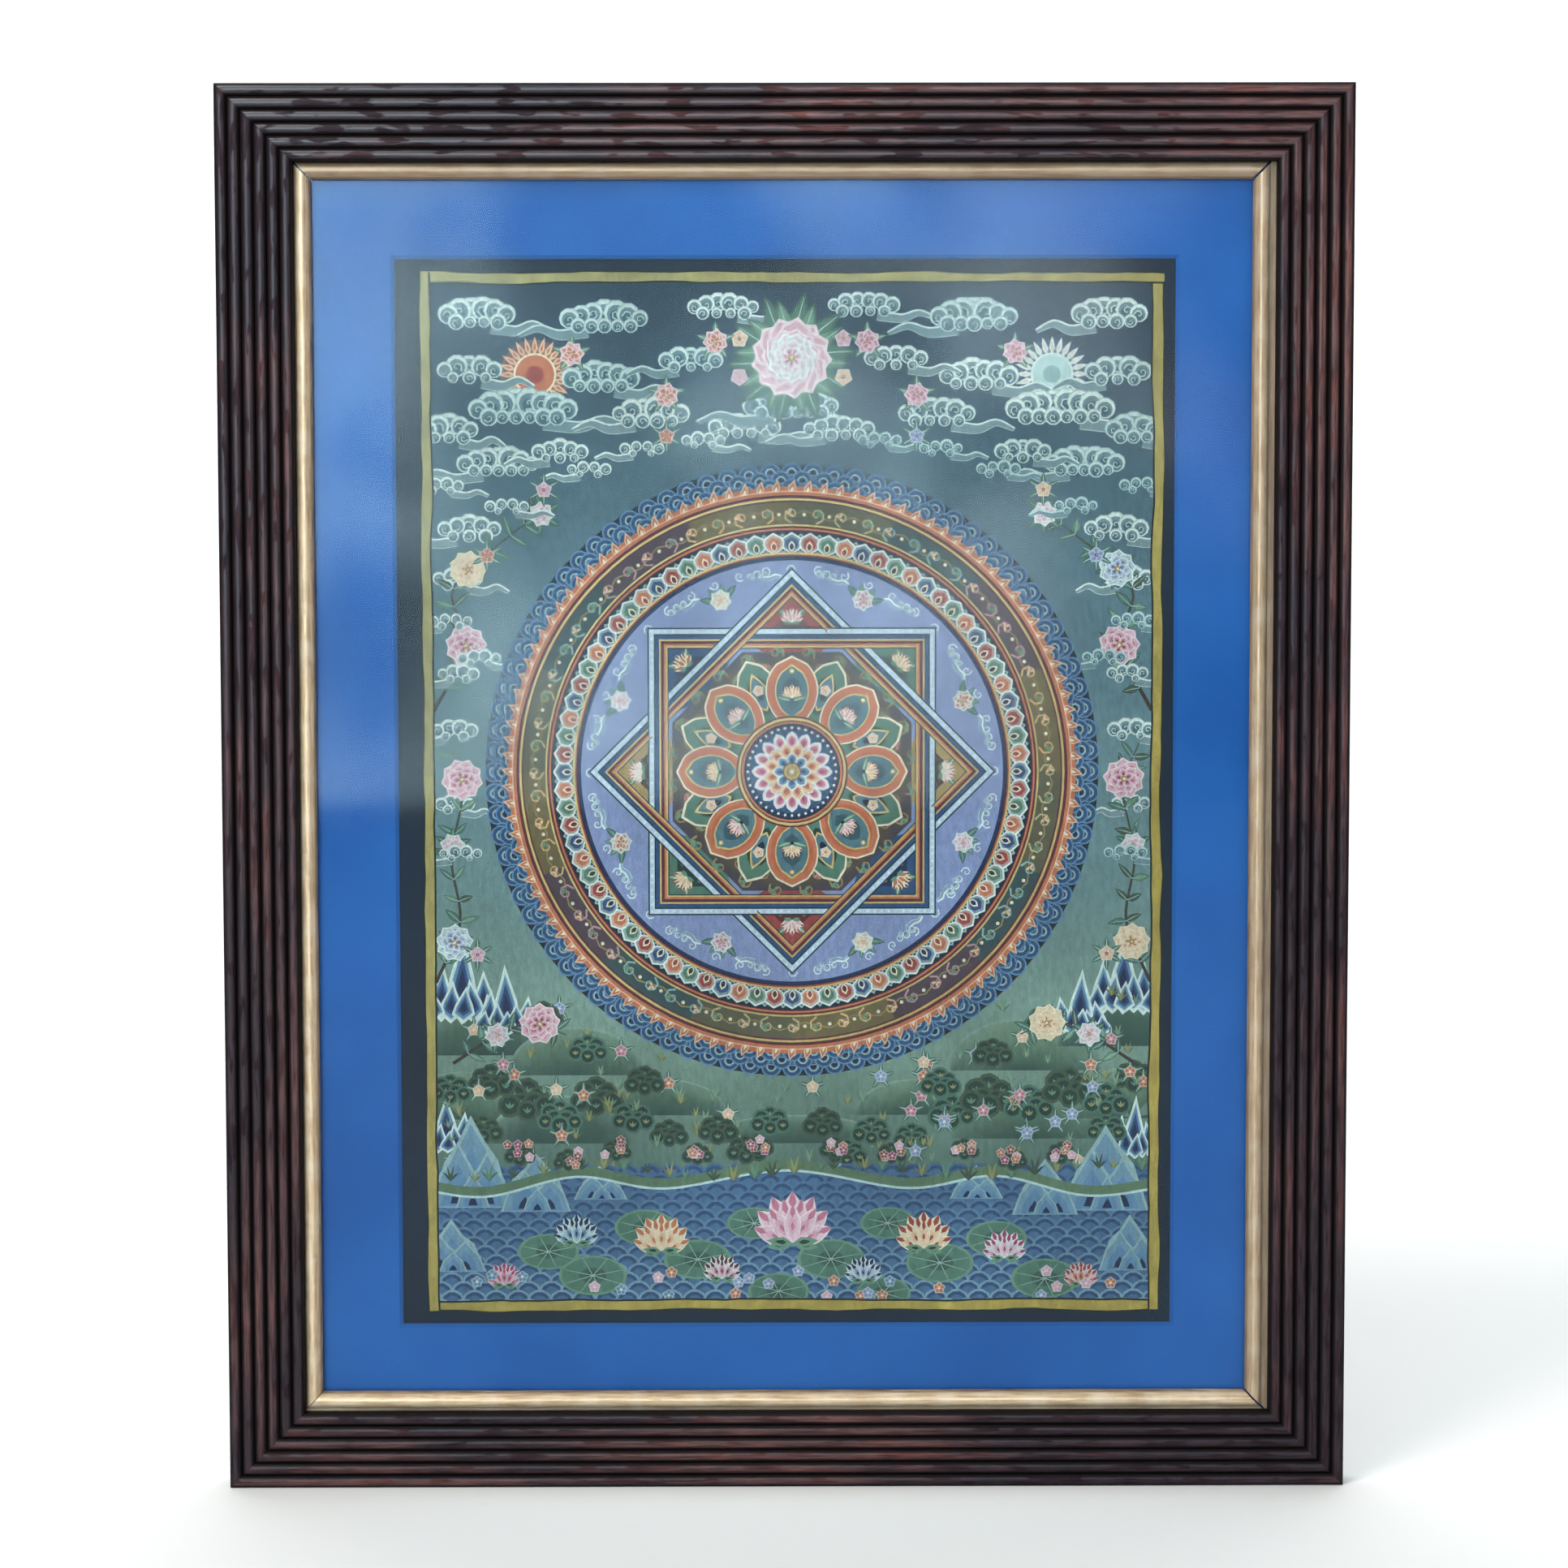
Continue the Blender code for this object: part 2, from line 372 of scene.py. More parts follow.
def slip_section(work):
    shoulder, ridge, width = 0.0056, 0.0101, 0.0135
    foot, tongue, top, lip = 0.0120, 0.0150, 0.0182, 0.0134
    start = work.verts.new((0, foot, 0))
    point = draw_on(work, start, [(0, tongue), (shoulder, tongue)])
    run, climb = ridge - shoulder, top - tongue
    bmesh.ops.spin(
        work, geom=[point], cent=(ridge, tongue, 0), axis=(0, 0, -1), dvec=(0, 0, 0),
        angle=math.pi / 2, steps=8,
    )
    for vertex in work.verts:
        if vertex.co.y > tongue + 1e-7:
            vertex.co.y = tongue + (vertex.co.y - tongue) * climb / run
    highest = max(work.verts, key=lambda vertex: vertex.co.y)
    brow = (ridge + 0.0009, top - 0.00045)
    last = draw_on(work, highest, [brow, (width - 0.0004, lip + 0.0008), (width, lip), (width, foot)])
    work.edges.new((last, start))


# %% Run a section along a rail and cut its mitres
CLOSED_GAP = 0.00004
MITRE_REACH = 0.02
WANDERS_ABOVE = 0.013


def run_rail(side, section, insets, gaps, wander):
    """A length of moulding on one side, mitred to its neighbours.

    Its hand-made face wanders by that many metres, and its flat back stays where it is."""
    sides = {name: OUTLINE[name] + insets[name] * sum(INWARD[name]) for name in OUTLINE}

    def corner(end, depth=0.0):
        at = {name: sides[name] + depth * sum(INWARD[name]) for name in (side, end)}
        across = at["left"] if "left" in at else at["right"]
        up = at["top"] if "top" in at else at["bottom"]
        return Vector((across, 0, up))

    work = bmesh.new()
    section(work)
    face = bmesh.ops.contextual_create(work, geom=work.edges[:])["faces"]
    start, stop = [corner(end) for end in ENDS[side]]
    length = (stop - start).length
    drawn = bmesh.ops.extrude_face_region(work, geom=face)["geom"]
    far = [item for item in drawn if isinstance(item, bmesh.types.BMVert)]
    bmesh.ops.translate(work, verts=far, vec=(0, 0, length))
    long_edges = [e for e in work.edges if abs(e.verts[0].co.z - e.verts[1].co.z) > length / 2]
    bmesh.ops.subdivide_edges(work, edges=long_edges, cuts=LENGTH_CUTS, use_grid_fill=True)
    along = (stop - start).normalized()
    turn = Matrix((INWARD[side], TOWARDS_VIEWER, along)).transposed().to_4x4()
    bmesh.ops.transform(work, matrix=Matrix.Translation(start) @ turn, verts=work.verts)
    for end in ENDS[side]:
        place = corner(end)
        outward = (corner(end, MITRE_REACH) - place).cross(TOWARDS_VIEWER).normalized()
        if (place - (start + stop) / 2).dot(outward) < 0:
            outward.negate()
        gap = gaps.get(frozenset((side, end)), CLOSED_GAP)
        cut = bmesh.ops.bisect_plane(
            work, geom=work.verts[:] + work.edges[:] + work.faces[:],
            plane_co=place - outward * gap / 2, plane_no=outward, clear_outer=True,
        )["geom_cut"]
        rim = [item for item in cut if isinstance(item, bmesh.types.BMEdge)]
        bmesh.ops.holes_fill(work, edges=rim, sides=0)
    for vertex in work.verts:
        slow = noise.noise(vertex.co * 9 + Vector((3, 0, 7)))
        quick = noise.noise(vertex.co * 45)
        vertex.co += INWARD[side] * wander * slow * 0.5
        if height_above_wall(vertex) > WANDERS_ABOVE:
            vertex.co += TOWARDS_VIEWER * wander * (0.6 * slow + 0.4 * quick)
    return work


# %% [markdown]
# The wood is stained almost black and waxed. Its colour drifts to a reddish brown where the
# stain has worn, the grooves between the reeds hold dark wax and are painted darker still as
# shade, and long pores break the shine on each crest into short dashes. A stored value that is 0
# in a groove and 1 on a crest steers the first two, and noise stretched along the rail gives the pores.

# %% Stained wood
def stained_wood(name, long_axis, polish):
    wood = Recipe(name)
    thin = [1.0, 1.0, 1.0]
    thin[long_axis] = 0.06
    grain = wood.stretched(tuple(thin))
    thin[long_axis] = 0.25
    patchy = wood.stretched(tuple(thin))
    crest = wood.stored("crest")
    patches = wood.spread(wood.noise(patchy, 22, 4.0, 0.6), 0.44, 0.74)
    streaks = wood.noise(grain, 900, 3.0, 0.6)
    fibres = wood.spread(wood.noise(grain, 2600, 2.0, 0.7), 0.38, 0.62)
    dashes = wood.spread(wood.noise(patchy, 230, 2.0, 0.5, 0.3), 0.40, 0.50)
    top = wood.spread(crest, 0.70, 0.98)
    shine = wood.spread(crest, 0.66, 0.93)
    dark = wood.mix(wood.spread(streaks, 0.35, 0.7), (0.008, 0.003, 0.006), (0.028, 0.012, 0.018))
    worn = wood.mix(wood.spread(streaks, 0.3, 0.7), (0.052, 0.019, 0.017), (0.175, 0.062, 0.050))
    stain = wood.mix(wood.sum(patches, wood.spread(top, 0, 1, 0.25, 0.9), "MULTIPLY"), dark, worn)
    lit = wood.sum(shine, wood.spread(dashes, 0, 1, 0.2, 1.0), "MULTIPLY")
    # Away from the crests the colour goes almost black: dark wax in the grooves, and painted shade in
    # the grooves and on the flanks.
    colour = wood.mix(wood.spread(top, 0, 1, 0.85, 0.0), stain, (0.0020, 0.0011, 0.0014))
    rough = wood.sum(wood.spread(lit, 0, 1, 0.6, 0.42), wood.spread(fibres, 0, 1, 0.07, -0.05))
    pores = wood.bump(fibres, 0.00005)
    waves = wood.bump(wood.noise(patchy, 160, 2.0), 0.0003, pores)
    wood.shader.inputs["Specular IOR Level"].default_value = 0.12
    wood.shader.inputs["Coat Roughness"].default_value = 0.27
    wood.shader.inputs["Coat Tint"].default_value = (0.90, 0.88, 1.0, 1)
    return wood.finish(colour=colour, rough=rough, normal=waves, coat=wood.spread(lit, 0, 1, 0, polish))


POLISH = {"top": 0.75, "left": 0.38, "right": 0.22, "bottom": 0.25}
print("Polish of the rails:", POLISH)


# %% Four rails
NO_INSET = dict.fromkeys(INWARD, 0.0)
for side in INWARD:
    rail = run_rail(side, reeded_section, NO_INSET, {}, 0.00012)
    long_axis = 0 if side in ("top", "bottom") else 2
    finish = stained_wood("stained_wood_" + side, long_axis, POLISH[side])
    piece("reeded_rail_" + side, rail, finish, "stained_wood", "rail_" + side)

# %% [markdown]
# Inside the rails runs a slip, a slim gilt moulding that spaces the glass from the frame's lip.
# It was laid by hand, so its width wanders a little and its mitres have opened, the top right
# one most. Gold leaf lies over a red-brown clay, which shows in streaks and along the low inner
# edge, where painted shade darkens it too. Each length is also darkened as painted shade: the top
# one most, then the right one, the left one a little and the bottom one not at all.

# %% Gilding
def gilt(name, long_axis, painted_shade):
    leaf = Recipe(name)
    thin = [1.0, 1.0, 1.0]
    thin[long_axis] = 0.07
    brushed = leaf.stretched(tuple(thin))
    ridge = leaf.stored("ridge")
    streaks = leaf.noise(brushed, 700, 3.0, 0.6)
    cloudy = leaf.noise(leaf.place, 60, 4.0, 0.6)
    gold = leaf.mix(leaf.spread(streaks, 0.35, 0.65), (0.44, 0.30, 0.18), (0.67, 0.49, 0.31))
    pale = leaf.mix(leaf.spread(cloudy, 0.4, 0.7, 0.0, 0.6), gold, (0.73, 0.60, 0.45))
    # Painted shade: each length is mixed towards dark brown by its own share.
    pale = leaf.mix(painted_shade, pale, (0.15, 0.095, 0.062))
    # The low parts of the slip, at its inner edge and its outer shoulder, are darkened: red-brown clay
    # where the leaf is rubbed through, and painted shade in the recess.
    shaded_low_edge = leaf.spread(ridge, 0.0, 0.45, 1.0, 0.0)
    rubbed_and_shaded = leaf.sum(leaf.spread(streaks, 0.3, 0.65, 0.45, 1.0), shaded_low_edge, "MULTIPLY")
    colour = leaf.mix(rubbed_and_shaded, pale, (0.115, 0.062, 0.034))
    rough = leaf.sum(leaf.spread(cloudy, 0.3, 0.7, 0.34, 0.5), leaf.spread(rubbed_and_shaded, 0, 1, 0, 0.2))
    metal = leaf.spread(rubbed_and_shaded, 0, 1, 0.42, 0.05)
    ripples = leaf.bump(leaf.noise(brushed, 420, 3.0), 0.00012)
    return leaf.finish(colour=colour, rough=rough, metal=metal, normal=ripples)


# Painted shade for each length of slip, heaviest on the top one and none on the bottom one.
SLIP_PAINTED_SHADE = {"top": 0.62, "right": 0.42, "left": 0.1, "bottom": 0.0}
SLIP_WIDTH = 0.0135
SLIP_SIGHT = {"left": 0.0455, "right": 0.0484, "top": 0.0455, "bottom": 0.0467}
SLIP_INSET = {side: inset - SLIP_WIDTH for side, inset in SLIP_SIGHT.items()}
OPEN_MITRES = {
    frozenset(("top", "right")): 0.0011, frozenset(("top", "left")): 0.0007,
    frozenset(("bottom", "right")): 0.0009, frozenset(("bottom", "left")): 0.0004,
}

RIDGE_FOOT = 0.0145
RIDGE_RISE = 0.0037

for side in INWARD:
    slip = run_rail(side, slip_section, SLIP_INSET, OPEN_MITRES, 0.0002)
    layer = slip.verts.layers.float.new("ridge")
    for vertex in slip.verts:
        share = (height_above_wall(vertex) - RIDGE_FOOT) / RIDGE_RISE
        vertex[layer] = min(max(share, 0.0), 1.0)
    finish = gilt("gilding_" + side, 0 if side in ("top", "bottom") else 2, SLIP_PAINTED_SHADE[side])
    piece("gilt_slip_" + side, slip, finish, "gilding", "slip_" + side)

# %% [markdown]
# The mount is a sheet of cobalt blue board with a window cut in it at 45 degrees. Both faces of
# a flat block are inset to the window's size, larger in front, the two inner faces are taken
# out, and a bridge between the two holes gives the bevel. Fine fibres and a chalky, uneven
# surface keep the blue from looking like plastic.

# %% Blue board
WINDOW = (0.3800, 0.5235)
WINDOW_DROP = 0.0019
board_low, board_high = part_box("window_mount")
BEVEL = board_high[1] - board_low[1]
WINDOW_Z = (OUTLINE["top"] + OUTLINE["bottom"]) / 2 - WINDOW_DROP


def build_mount():
    work = bmesh.new()
    bmesh.ops.create_cube(work, size=1.0)
    size = Vector(board_high) - Vector(board_low)
    middle = (Vector(board_high) + Vector(board_low)) / 2
    bmesh.ops.transform(
        work, matrix=Matrix.Translation(middle) @ Matrix.Diagonal((*size, 1)), verts=work.verts
    )
    faces = [face for face in work.faces if abs(face.normal.y) > 0.9]
    for face in faces:
        in_front = face.calc_center_median().y < middle.y
        bmesh.ops.inset_individual(work, faces=[face], thickness=0.01)
        extra = BEVEL if in_front else 0
        for vertex in face.verts:
            vertex.co.x = math.copysign(WINDOW[0] / 2 + extra, vertex.co.x)
            above = vertex.co.z > middle.z
            vertex.co.z = WINDOW_Z + (WINDOW[1] / 2 + extra) * (1 if above else -1)
    rims = [edge for face in faces for edge in face.edges]
    bmesh.ops.delete(work, geom=faces, context="FACES_ONLY")
    bmesh.ops.bridge_loops(work, edges=rims)
    sight = [e for e in rims if e.verts[0].co.y < middle.y]
    bmesh.ops.bevel(
        work, geom=sight, offset=0.0002, segments=2, profile=0.5, affect="EDGES", material=-1
    )
    return work


board = Recipe("blue_board")
fibres = board.noise(board.stretched((1, 1, 0.45), (0, 0.6, 0)), 1500, 3.0, 0.7)
mottle = board.noise(board.place, 9, 4.0, 0.6)
blue = board.mix(board.spread(mottle, 0.3, 0.7), (0.007, 0.075, 0.295), (0.015, 0.106, 0.370))
blue = board.mix(board.spread(fibres, 0.35, 0.75, 0.0, 0.3), blue, (0.032, 0.155, 0.40))
felted = board.bump(fibres, 0.00002, board.bump(board.noise(board.place, 300, 2.0), 0.00001))
board.shader.inputs["Specular IOR Level"].default_value = 0.12
board_finish = board.finish(colour=blue, rough=0.82, normal=felted)
piece("blue_mount", build_mount(), board_finish, "blue_board", "window_mount")
print("Window is", WINDOW, "m")

# %% [markdown]
# The glass is clear, so the painting is seen through it, and only the share of light that
# glass mirrors is added. Mixing a Transparent and a Glossy shader by Fresnel does this without
# bending light, which a thin flat pane hardly does, and the export keeps it as see-through.

# %% Glass
def clear_glass():
    pane = Recipe("pane")
    tint = pane.node("BsdfTransparent", {"Color": (0.965, 0.985, 0.98, 1)})
    mirror = pane.node("BsdfGlossy", {"Color": (1, 1, 1, 1), "Roughness": 0.05})
    share = pane.node("Fresnel", {"IOR": 1.20})
    both = pane.node("MixShader", {0: share, 1: tint, 2: mirror})
    pane.tree.links.new(both, pane.tree.nodes["Material Output"].inputs["Surface"])
    pane.tree.nodes.remove(pane.shader)
    return pane.material


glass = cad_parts["glass_pane"]
glass.data.materials.clear()
glass.data.materials.append(clear_glass())
print("Glass pane has a material of its own")

# %% [markdown]
# The back board is brown hardboard with a faint screen pattern pressed into it. It is only seen
# from behind, and the CAD part has the right shape, so it stays and gets a better material.

# %% Back board
def hardboard():
    sheet = Recipe("hardboard")
    strands = sheet.noise(sheet.place, 700, 4.0, 0.7)
    blotches = sheet.noise(sheet.place, 5, 3.0, 0.6)
    colour = sheet.mix(sheet.spread(strands, 0.3, 0.7), (0.20, 0.115, 0.062), (0.34, 0.215, 0.125))
    colour = sheet.mix(sheet.spread(blotches, 0.4, 0.7, 0, 0.3), colour, (0.17, 0.10, 0.06))
    across = sheet.node(
        "TexWave", {"Vector": sheet.place, "Scale": 220.0}, output=1, bands_direction="X",
    )
    up = sheet.node("TexWave", {"Vector": sheet.place, "Scale": 220.0}, output=1, bands_direction="Z")
    screen = sheet.bump(sheet.sum(across, up, "MULTIPLY"), 0.0001, sheet.bump(strands, 0.0001))
    return sheet.finish(colour=colour, rough=0.72, normal=screen)


board_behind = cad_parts["back_board"]
board_behind.data.materials.clear()
board_behind.data.materials.append(hardboard())
print("Back board has a material of its own")

# %% [markdown]
# The painting is done in ground mineral colours on cotton, with gold dust on the fine lines. The
# design is a plain garden: a wheel of petals and bands in the middle, clouds and peonies above, a
# lotus pond below. The picture in a frame like this is its maker's own, so this one is a new
# design of the same size, colours and density. A pigment is a colour with its share of gold.

# %% Pigments
def pigment(red, green, blue, gilt=0.0):
    """A colour from the 0 to 255 scale, made linear and dull with age, and its gold."""
    shades = [value / 255 for value in (red, green, blue)]
    linear = np.array([s / 12.92 if s <= 0.04045 else ((s + 0.055) / 1.055) ** 2.4 for s in shades])
    grey = linear @ (0.2126, 0.7152, 0.0722)
    aged = (linear * (1 - AGE_DULLS) + grey * AGE_DULLS) * AGE_DARKENS
    return np.array([*aged, gilt])


AGE_DULLS = 0.2
AGE_DARKENS = 0.9


def mixed(first, second, share):
    return first * (1 - share) + second * share


CHALK = pigment(208, 218, 212)
PALE = pigment(176, 202, 200)
MIST = pigment(138, 170, 172)
TEAL = pigment(74, 112, 126)
DEEP_TEAL = pigment(50, 84, 96)
NIGHT = pigment(28, 40, 58)
INDIGO = pigment(30, 46, 84)
LAPIS = pigment(40, 76, 120)
SKY_BLUE = pigment(86, 130, 168)
LAVENDER = pigment(128, 140, 186)
PLUM = pigment(84, 62, 82)
WINE = pigment(96, 40, 50)
RED = pigment(158, 58, 52)
ORANGE = pigment(196, 104, 62)
PEACH = pigment(224, 172, 132)
CREAM = pigment(226, 206, 172)
ROSE = pigment(196, 106, 134)
PINK = pigment(216, 152, 174)
BLUSH = pigment(228, 196, 202)
MAGENTA = pigment(168, 52, 100)
OCHRE = pigment(164, 132, 66)
GOLD = pigment(176, 142, 72, 0.8)
DULL_GOLD = pigment(146, 122, 70, 0.5)
MOSS = pigment(70, 88, 66)
GREEN = pigment(74, 116, 98)
LEAF = pigment(98, 140, 112)
DARK_LEAF = pigment(34, 62, 56)
UMBER = pigment(66, 52, 46)
DRY_GRASS = pigment(150, 150, 84)

# %% [markdown]
# A painter lays one coat over another, and each motif here is made the same way. A pattern is a
# set of flat faces in millimetres: a closed outline is copied and scaled towards its heart, once
# for each coat of colour, and a brush line is a strip along a curve. Stamping a pattern turned,
# sized and mirrored saves drawing it again, as a pounced stencil does on real cloth.

# %% Patterns
def traced(work):
    """A flat bmesh read as a pattern. Only faces of uneven colour are cut into triangles."""
    colour = work.verts.layers.float_color["pigment"]
    uneven = [
        f
        for f in work.faces if len(f.verts) > 3 and len({tuple(v[colour]) for v in f.verts}) > 1
    ]
    bmesh.ops.triangulate(work, faces=uneven)
    work.verts.index_update()
    points = np.array([vertex.co.xy for vertex in work.verts])
    pigments = np.array([vertex[colour] for vertex in work.verts])
    faces = [[v.index for v in face.verts] for face in work.faces]
    work.free()
    return points, pigments, faces


def shape(outline, coats, heart=(0.0, 0.0), hollow=False, smooth=False):
    """A closed outline painted from rim to heart. A coat is (share of the size, pigment)."""
    work = bmesh.new()
    colour = work.verts.layers.float_color.new("pigment")
    face = work.faces.new([work.verts.new((x, y, 0)) for x, y in outline])
    about_heart = Matrix.Translation((-heart[0], -heart[1], 0))
    size = 1.0
    for share, paint in coats:
        if share == 0 and smooth:
            middle = bmesh.ops.poke(work, faces=[face])["verts"]
            bmesh.ops.translate(work, verts=middle, vec=Vector((*heart, 0)) - middle[0].co)
            middle[0][colour] = paint
            break
        share = share or size * 0.45
        if share < 1:
            if smooth or hollow:
                bmesh.ops.inset_individual(work, faces=[face], thickness=0)
            else:
                copied = bmesh.ops.duplicate(work, geom=[face])["geom"]
                face = [item for item in copied if isinstance(item, bmesh.types.BMFace)][0]
            bmesh.ops.scale(work, verts=face.verts, vec=(share / size,) * 3, space=about_heart)
            size = share
        for vertex in face.verts:
            vertex[colour] = paint
    if hollow:
        bmesh.ops.delete(work, geom=[face], context="FACES_ONLY")
    return traced(work)


def stroke(points, widths, paint, end_paint=None):
    """A brush line along points, as wide at each as widths says."""
    points = np.array(points, float)
    widths = np.broadcast_to(widths, len(points))
    ahead = np.gradient(points, axis=0)
    ahead /= np.linalg.norm(ahead, axis=1, keepdims=True) + 1e-9
    aside = np.stack([-ahead[:, 1], ahead[:, 0]], axis=1) * widths[:, None] / 2
    count = len(points)
    faces = []
    for i in range(count - 1):
        faces += [[i, i + 1, i + count], [i + 1, i + 1 + count, i + count]]
    along = np.linspace(0, 1, count)[:, None]
    pigments = paint + (paint if end_paint is None else end_paint) * along - paint * along
    return np.concatenate([points + aside, points - aside]), np.tile(pigments, (2, 1)), faces


def moved(pattern, at=(0, 0), turn=0.0, size=1.0, flip=False):
    """A copy of a pattern, flipped, sized, turned by degrees and moved, in that order."""
    points, pigments, faces = pattern
    angle = math.radians(turn)
    rows = np.array([[math.cos(angle), math.sin(angle)], [-math.sin(angle), math.cos(angle)]])
    mirror = np.array([-1, 1]) if flip else np.array([1, 1])
    return points * mirror * size @ rows + np.array(at), pigments, faces


def joined(patterns):
    """Several patterns as one, painted in their order."""
    faces, start = [], 0
    for points, pigments, some_faces in patterns:
        faces += [[i + start for i in face] for face in some_faces] if start else some_faces
        start += len(points)
    return np.concatenate([p[0] for p in patterns]), np.concatenate([p[1] for p in patterns]), faces


def split_uneven(points, pigments, faces):
    """Cuts each face of more than three corners into a fan if its corners differ in pigment."""
    made = []
    for face in faces:
        if len(face) > 3 and np.ptp(pigments[face], axis=0).max() > 1e-6:
            made += [[face[0], face[i], face[i + 1]] for i in range(1, len(face) - 1)]
        else:
            made.append(face)
    return points, pigments, made


def tinted(pattern, paint, share):
    """A pattern mixed part of the way to a pigment, by one share or one for each point."""
    points, pigments, faces = pattern
    share = np.broadcast_to(share, len(points))[:, None]
    return split_uneven(points, pigments * (1 - share) + paint * share, faces)


def faded(pattern, paint, low, high, most=1.0):
    """A pattern mixed towards a pigment from height high, where nothing changes, down to low."""
    share = np.clip((high - pattern[0][:, 1]) / (high - low), 0, 1) * most
    return tinted(pattern, paint, share)


def around(pattern, count, radius, turn=0.0, start=0.0, each=None):
    """Copies of a pattern on a ring. A pattern's own up points away from the middle."""
    copies = []
    for step in range(count):
        angle = start + 360 * step / count
        place = (radius * math.sin(math.radians(angle)), radius * math.cos(math.radians(angle)))
        one = each(step) if each else pattern
        copies.append(moved(one, place, turn - angle))
    return joined(copies)


def disc(radius, coats, steps=24, wide=1.0, heart=(0.0, 0.0), smooth=False):
    outline = [
        (radius * wide * math.cos(2 * math.pi * i / steps), radius * math.sin(2 * math.pi * i / steps))
        for i in range(steps)
    ]
    return shape(outline, coats, heart, smooth=smooth)


def petal(length, width, coats, round_tip=1.0, steps=6, swell=0.8, bend=0.0, smooth=False):
    """A petal that grows up from the middle. A smaller round_tip makes its shoulders fuller."""
    side = []
    for step in range(1, steps):
        share = step / steps
        half = width / 2 * math.sin(math.pi * share**swell) ** round_tip
        side.append((half, share * length))
    outline = [(0, 0), *side, (0, length), *[(-x, y) for x, y in reversed(side)]]
    outline = [(x + bend * (y / length) ** 2, y) for x, y in outline]
    return shape(outline, coats, (bend * 0.2, length * 0.42), smooth=smooth)


def polygon(corners, radius, coats, turn=0.0, hollow=False):
    angle = math.radians(turn)
    angles = [angle + 2 * math.pi * i / corners for i in range(corners)]
    outline = [(radius * math.sin(a), radius * math.cos(a)) for a in angles]
    return shape(outline, coats, hollow=hollow)


def spiral(radius, turns, width, paint, steps=14, start=0.0):
    points, widths = [], []
    for step in range(steps):
        share = step / (steps - 1)
        angle = math.radians(start) + 2 * math.pi * turns * share
        reach = radius * (1 - 0.86 * share)
        points.append((reach * math.cos(angle), reach * math.sin(angle)))
        widths.append(width * (1 - 0.5 * share))
    return stroke(points, widths, paint)


def curve_points(places, steps=6):
    """Points on a smooth curve through places."""
    places = [np.array(p, float) for p in places]
    padded = [2 * places[0] - places[1], *places, 2 * places[-1] - places[-2]]
    points = []
    for i in range(1, len(padded) - 2):
        a, b, c, d = padded[i - 1 : i + 3]
        for step in range(steps):
            t = step / steps
            slow = 2 * b + (c - a) * t + (2 * a - 5 * b + 4 * c - d) * t**2
            points.append(0.5 * (slow + (3 * b - a - 3 * c + d) * t**3))
    points.append(padded[-2])
    return np.array(points)


def scale_of(radius, coats, steps=8):
    """The upper part of a disc, for rows in which each one hides the lower part of the one behind."""
    angles = [math.radians(-24 + 228 * i / steps) for i in range(steps + 1)]
    return shape([(radius * math.cos(a), radius * math.sin(a)) for a in angles], coats)


# %% [markdown]
# The motifs are the usual ones: peonies, lotuses, leaves, scalloped clouds with a curl, waves,
# pointed snow peaks, rounded hills and clipped shrubs. Each is a function, so its size, colours
# and seed can change from one stamp to the next.

# %% Motifs
def peony(radius, outer, middle, light, petals=9, seed=0):
    """A full round blossom seen from the front."""
    draw = random.Random(seed)
    layers = []
    full = radius > 8
    coats = [(1, light), (0.84, mixed(light, middle, 0.5)), (0.55, middle)]
    if full:
        coats.append((0, outer))
    for share, count, wide in ((1.0, petals, 0.62), (0.74, petals - 2, 0.62), (0.5, petals - 4, 0.6)):
        long = radius * share
        one = petal(long, long * wide * 1.25, coats, 0.45, 4 if full else 3, 1.25)
        layers.append(around(one, count, 0, start=draw.uniform(0, 60)))
    layers.append(disc(radius * 0.16, [(1, OCHRE), (0, CREAM)], 8))
    return joined(layers)


def blossom(radius, paint, middle, petals=5):
    one = petal(radius, radius * 0.9, [(1, mixed(paint, CHALK, 0.45)), (0.66, paint)], 0.5, 3, 1.2)
    return joined([around(one, petals, 0), disc(radius * 0.22, [(1, middle), (0, CREAM)], 6)])


def leaf(length, width, paint=LEAF, vein=PALE, bend=0.0):
    blade = petal(length, width, [(1, mixed(paint, DARK_LEAF, 0.55)), (0.78, paint)], 1.0, 4, 0.8, bend)
    line = [(0, 0), (bend * 0.25, length * 0.5), (bend * 0.8, length * 0.88)]
    rib = stroke(line, [0.5, 0.4, 0.15], vein)
    return joined([blade, rib])


def lotus(size, pale=BLUSH, middle=PINK, deep=ROSE):
    """A lotus seen from the side: petals fan out from back to front over a green cup."""
    small = size < 10
    coats = [(1, pale), (0.88, mixed(pale, middle, 0.5)), (0.5, middle), (0, deep)]
    cup = [(1, LEAF), (0, DARK_LEAF)]
    fan = [(0, 1.0), (-24, 0.98), (24, 0.98), (-47, 0.92), (47, 0.92), (-12, 0.86), (12, 0.86)]
    fan += [(-68, 0.8), (68, 0.8), (-34, 0.8), (34, 0.8), (0, 0.74)]
    if small:
        coats = [(1, pale), (0.62, middle)]
        cup = [(1, LEAF)]
        fan = [(0, 1.0), (-30, 0.96), (30, 0.96), (-60, 0.84), (60, 0.84), (-15, 0.8), (15, 0.8)]
    one = petal(size, size * 0.46, coats, 0.8, 4 if small else 6, 0.95)
    tip = petal(size * 0.35, size * 0.14, [(1, deep)], 1.0, 3)
    bloom = []
    for turn, share in fan:
        bloom.append(moved(one, turn=turn, size=share))
        angle = math.radians(-turn)
        reach = size * share * 0.66
        bloom.append(moved(tip, (math.sin(-angle) * -reach, math.cos(angle) * reach), turn, share))
    for turn in (-100, 100, -84, 84):
        bloom.append(moved(petal(size * 0.5, size * 0.2, cup, 0.9, 3), turn=turn))
    return joined(bloom)


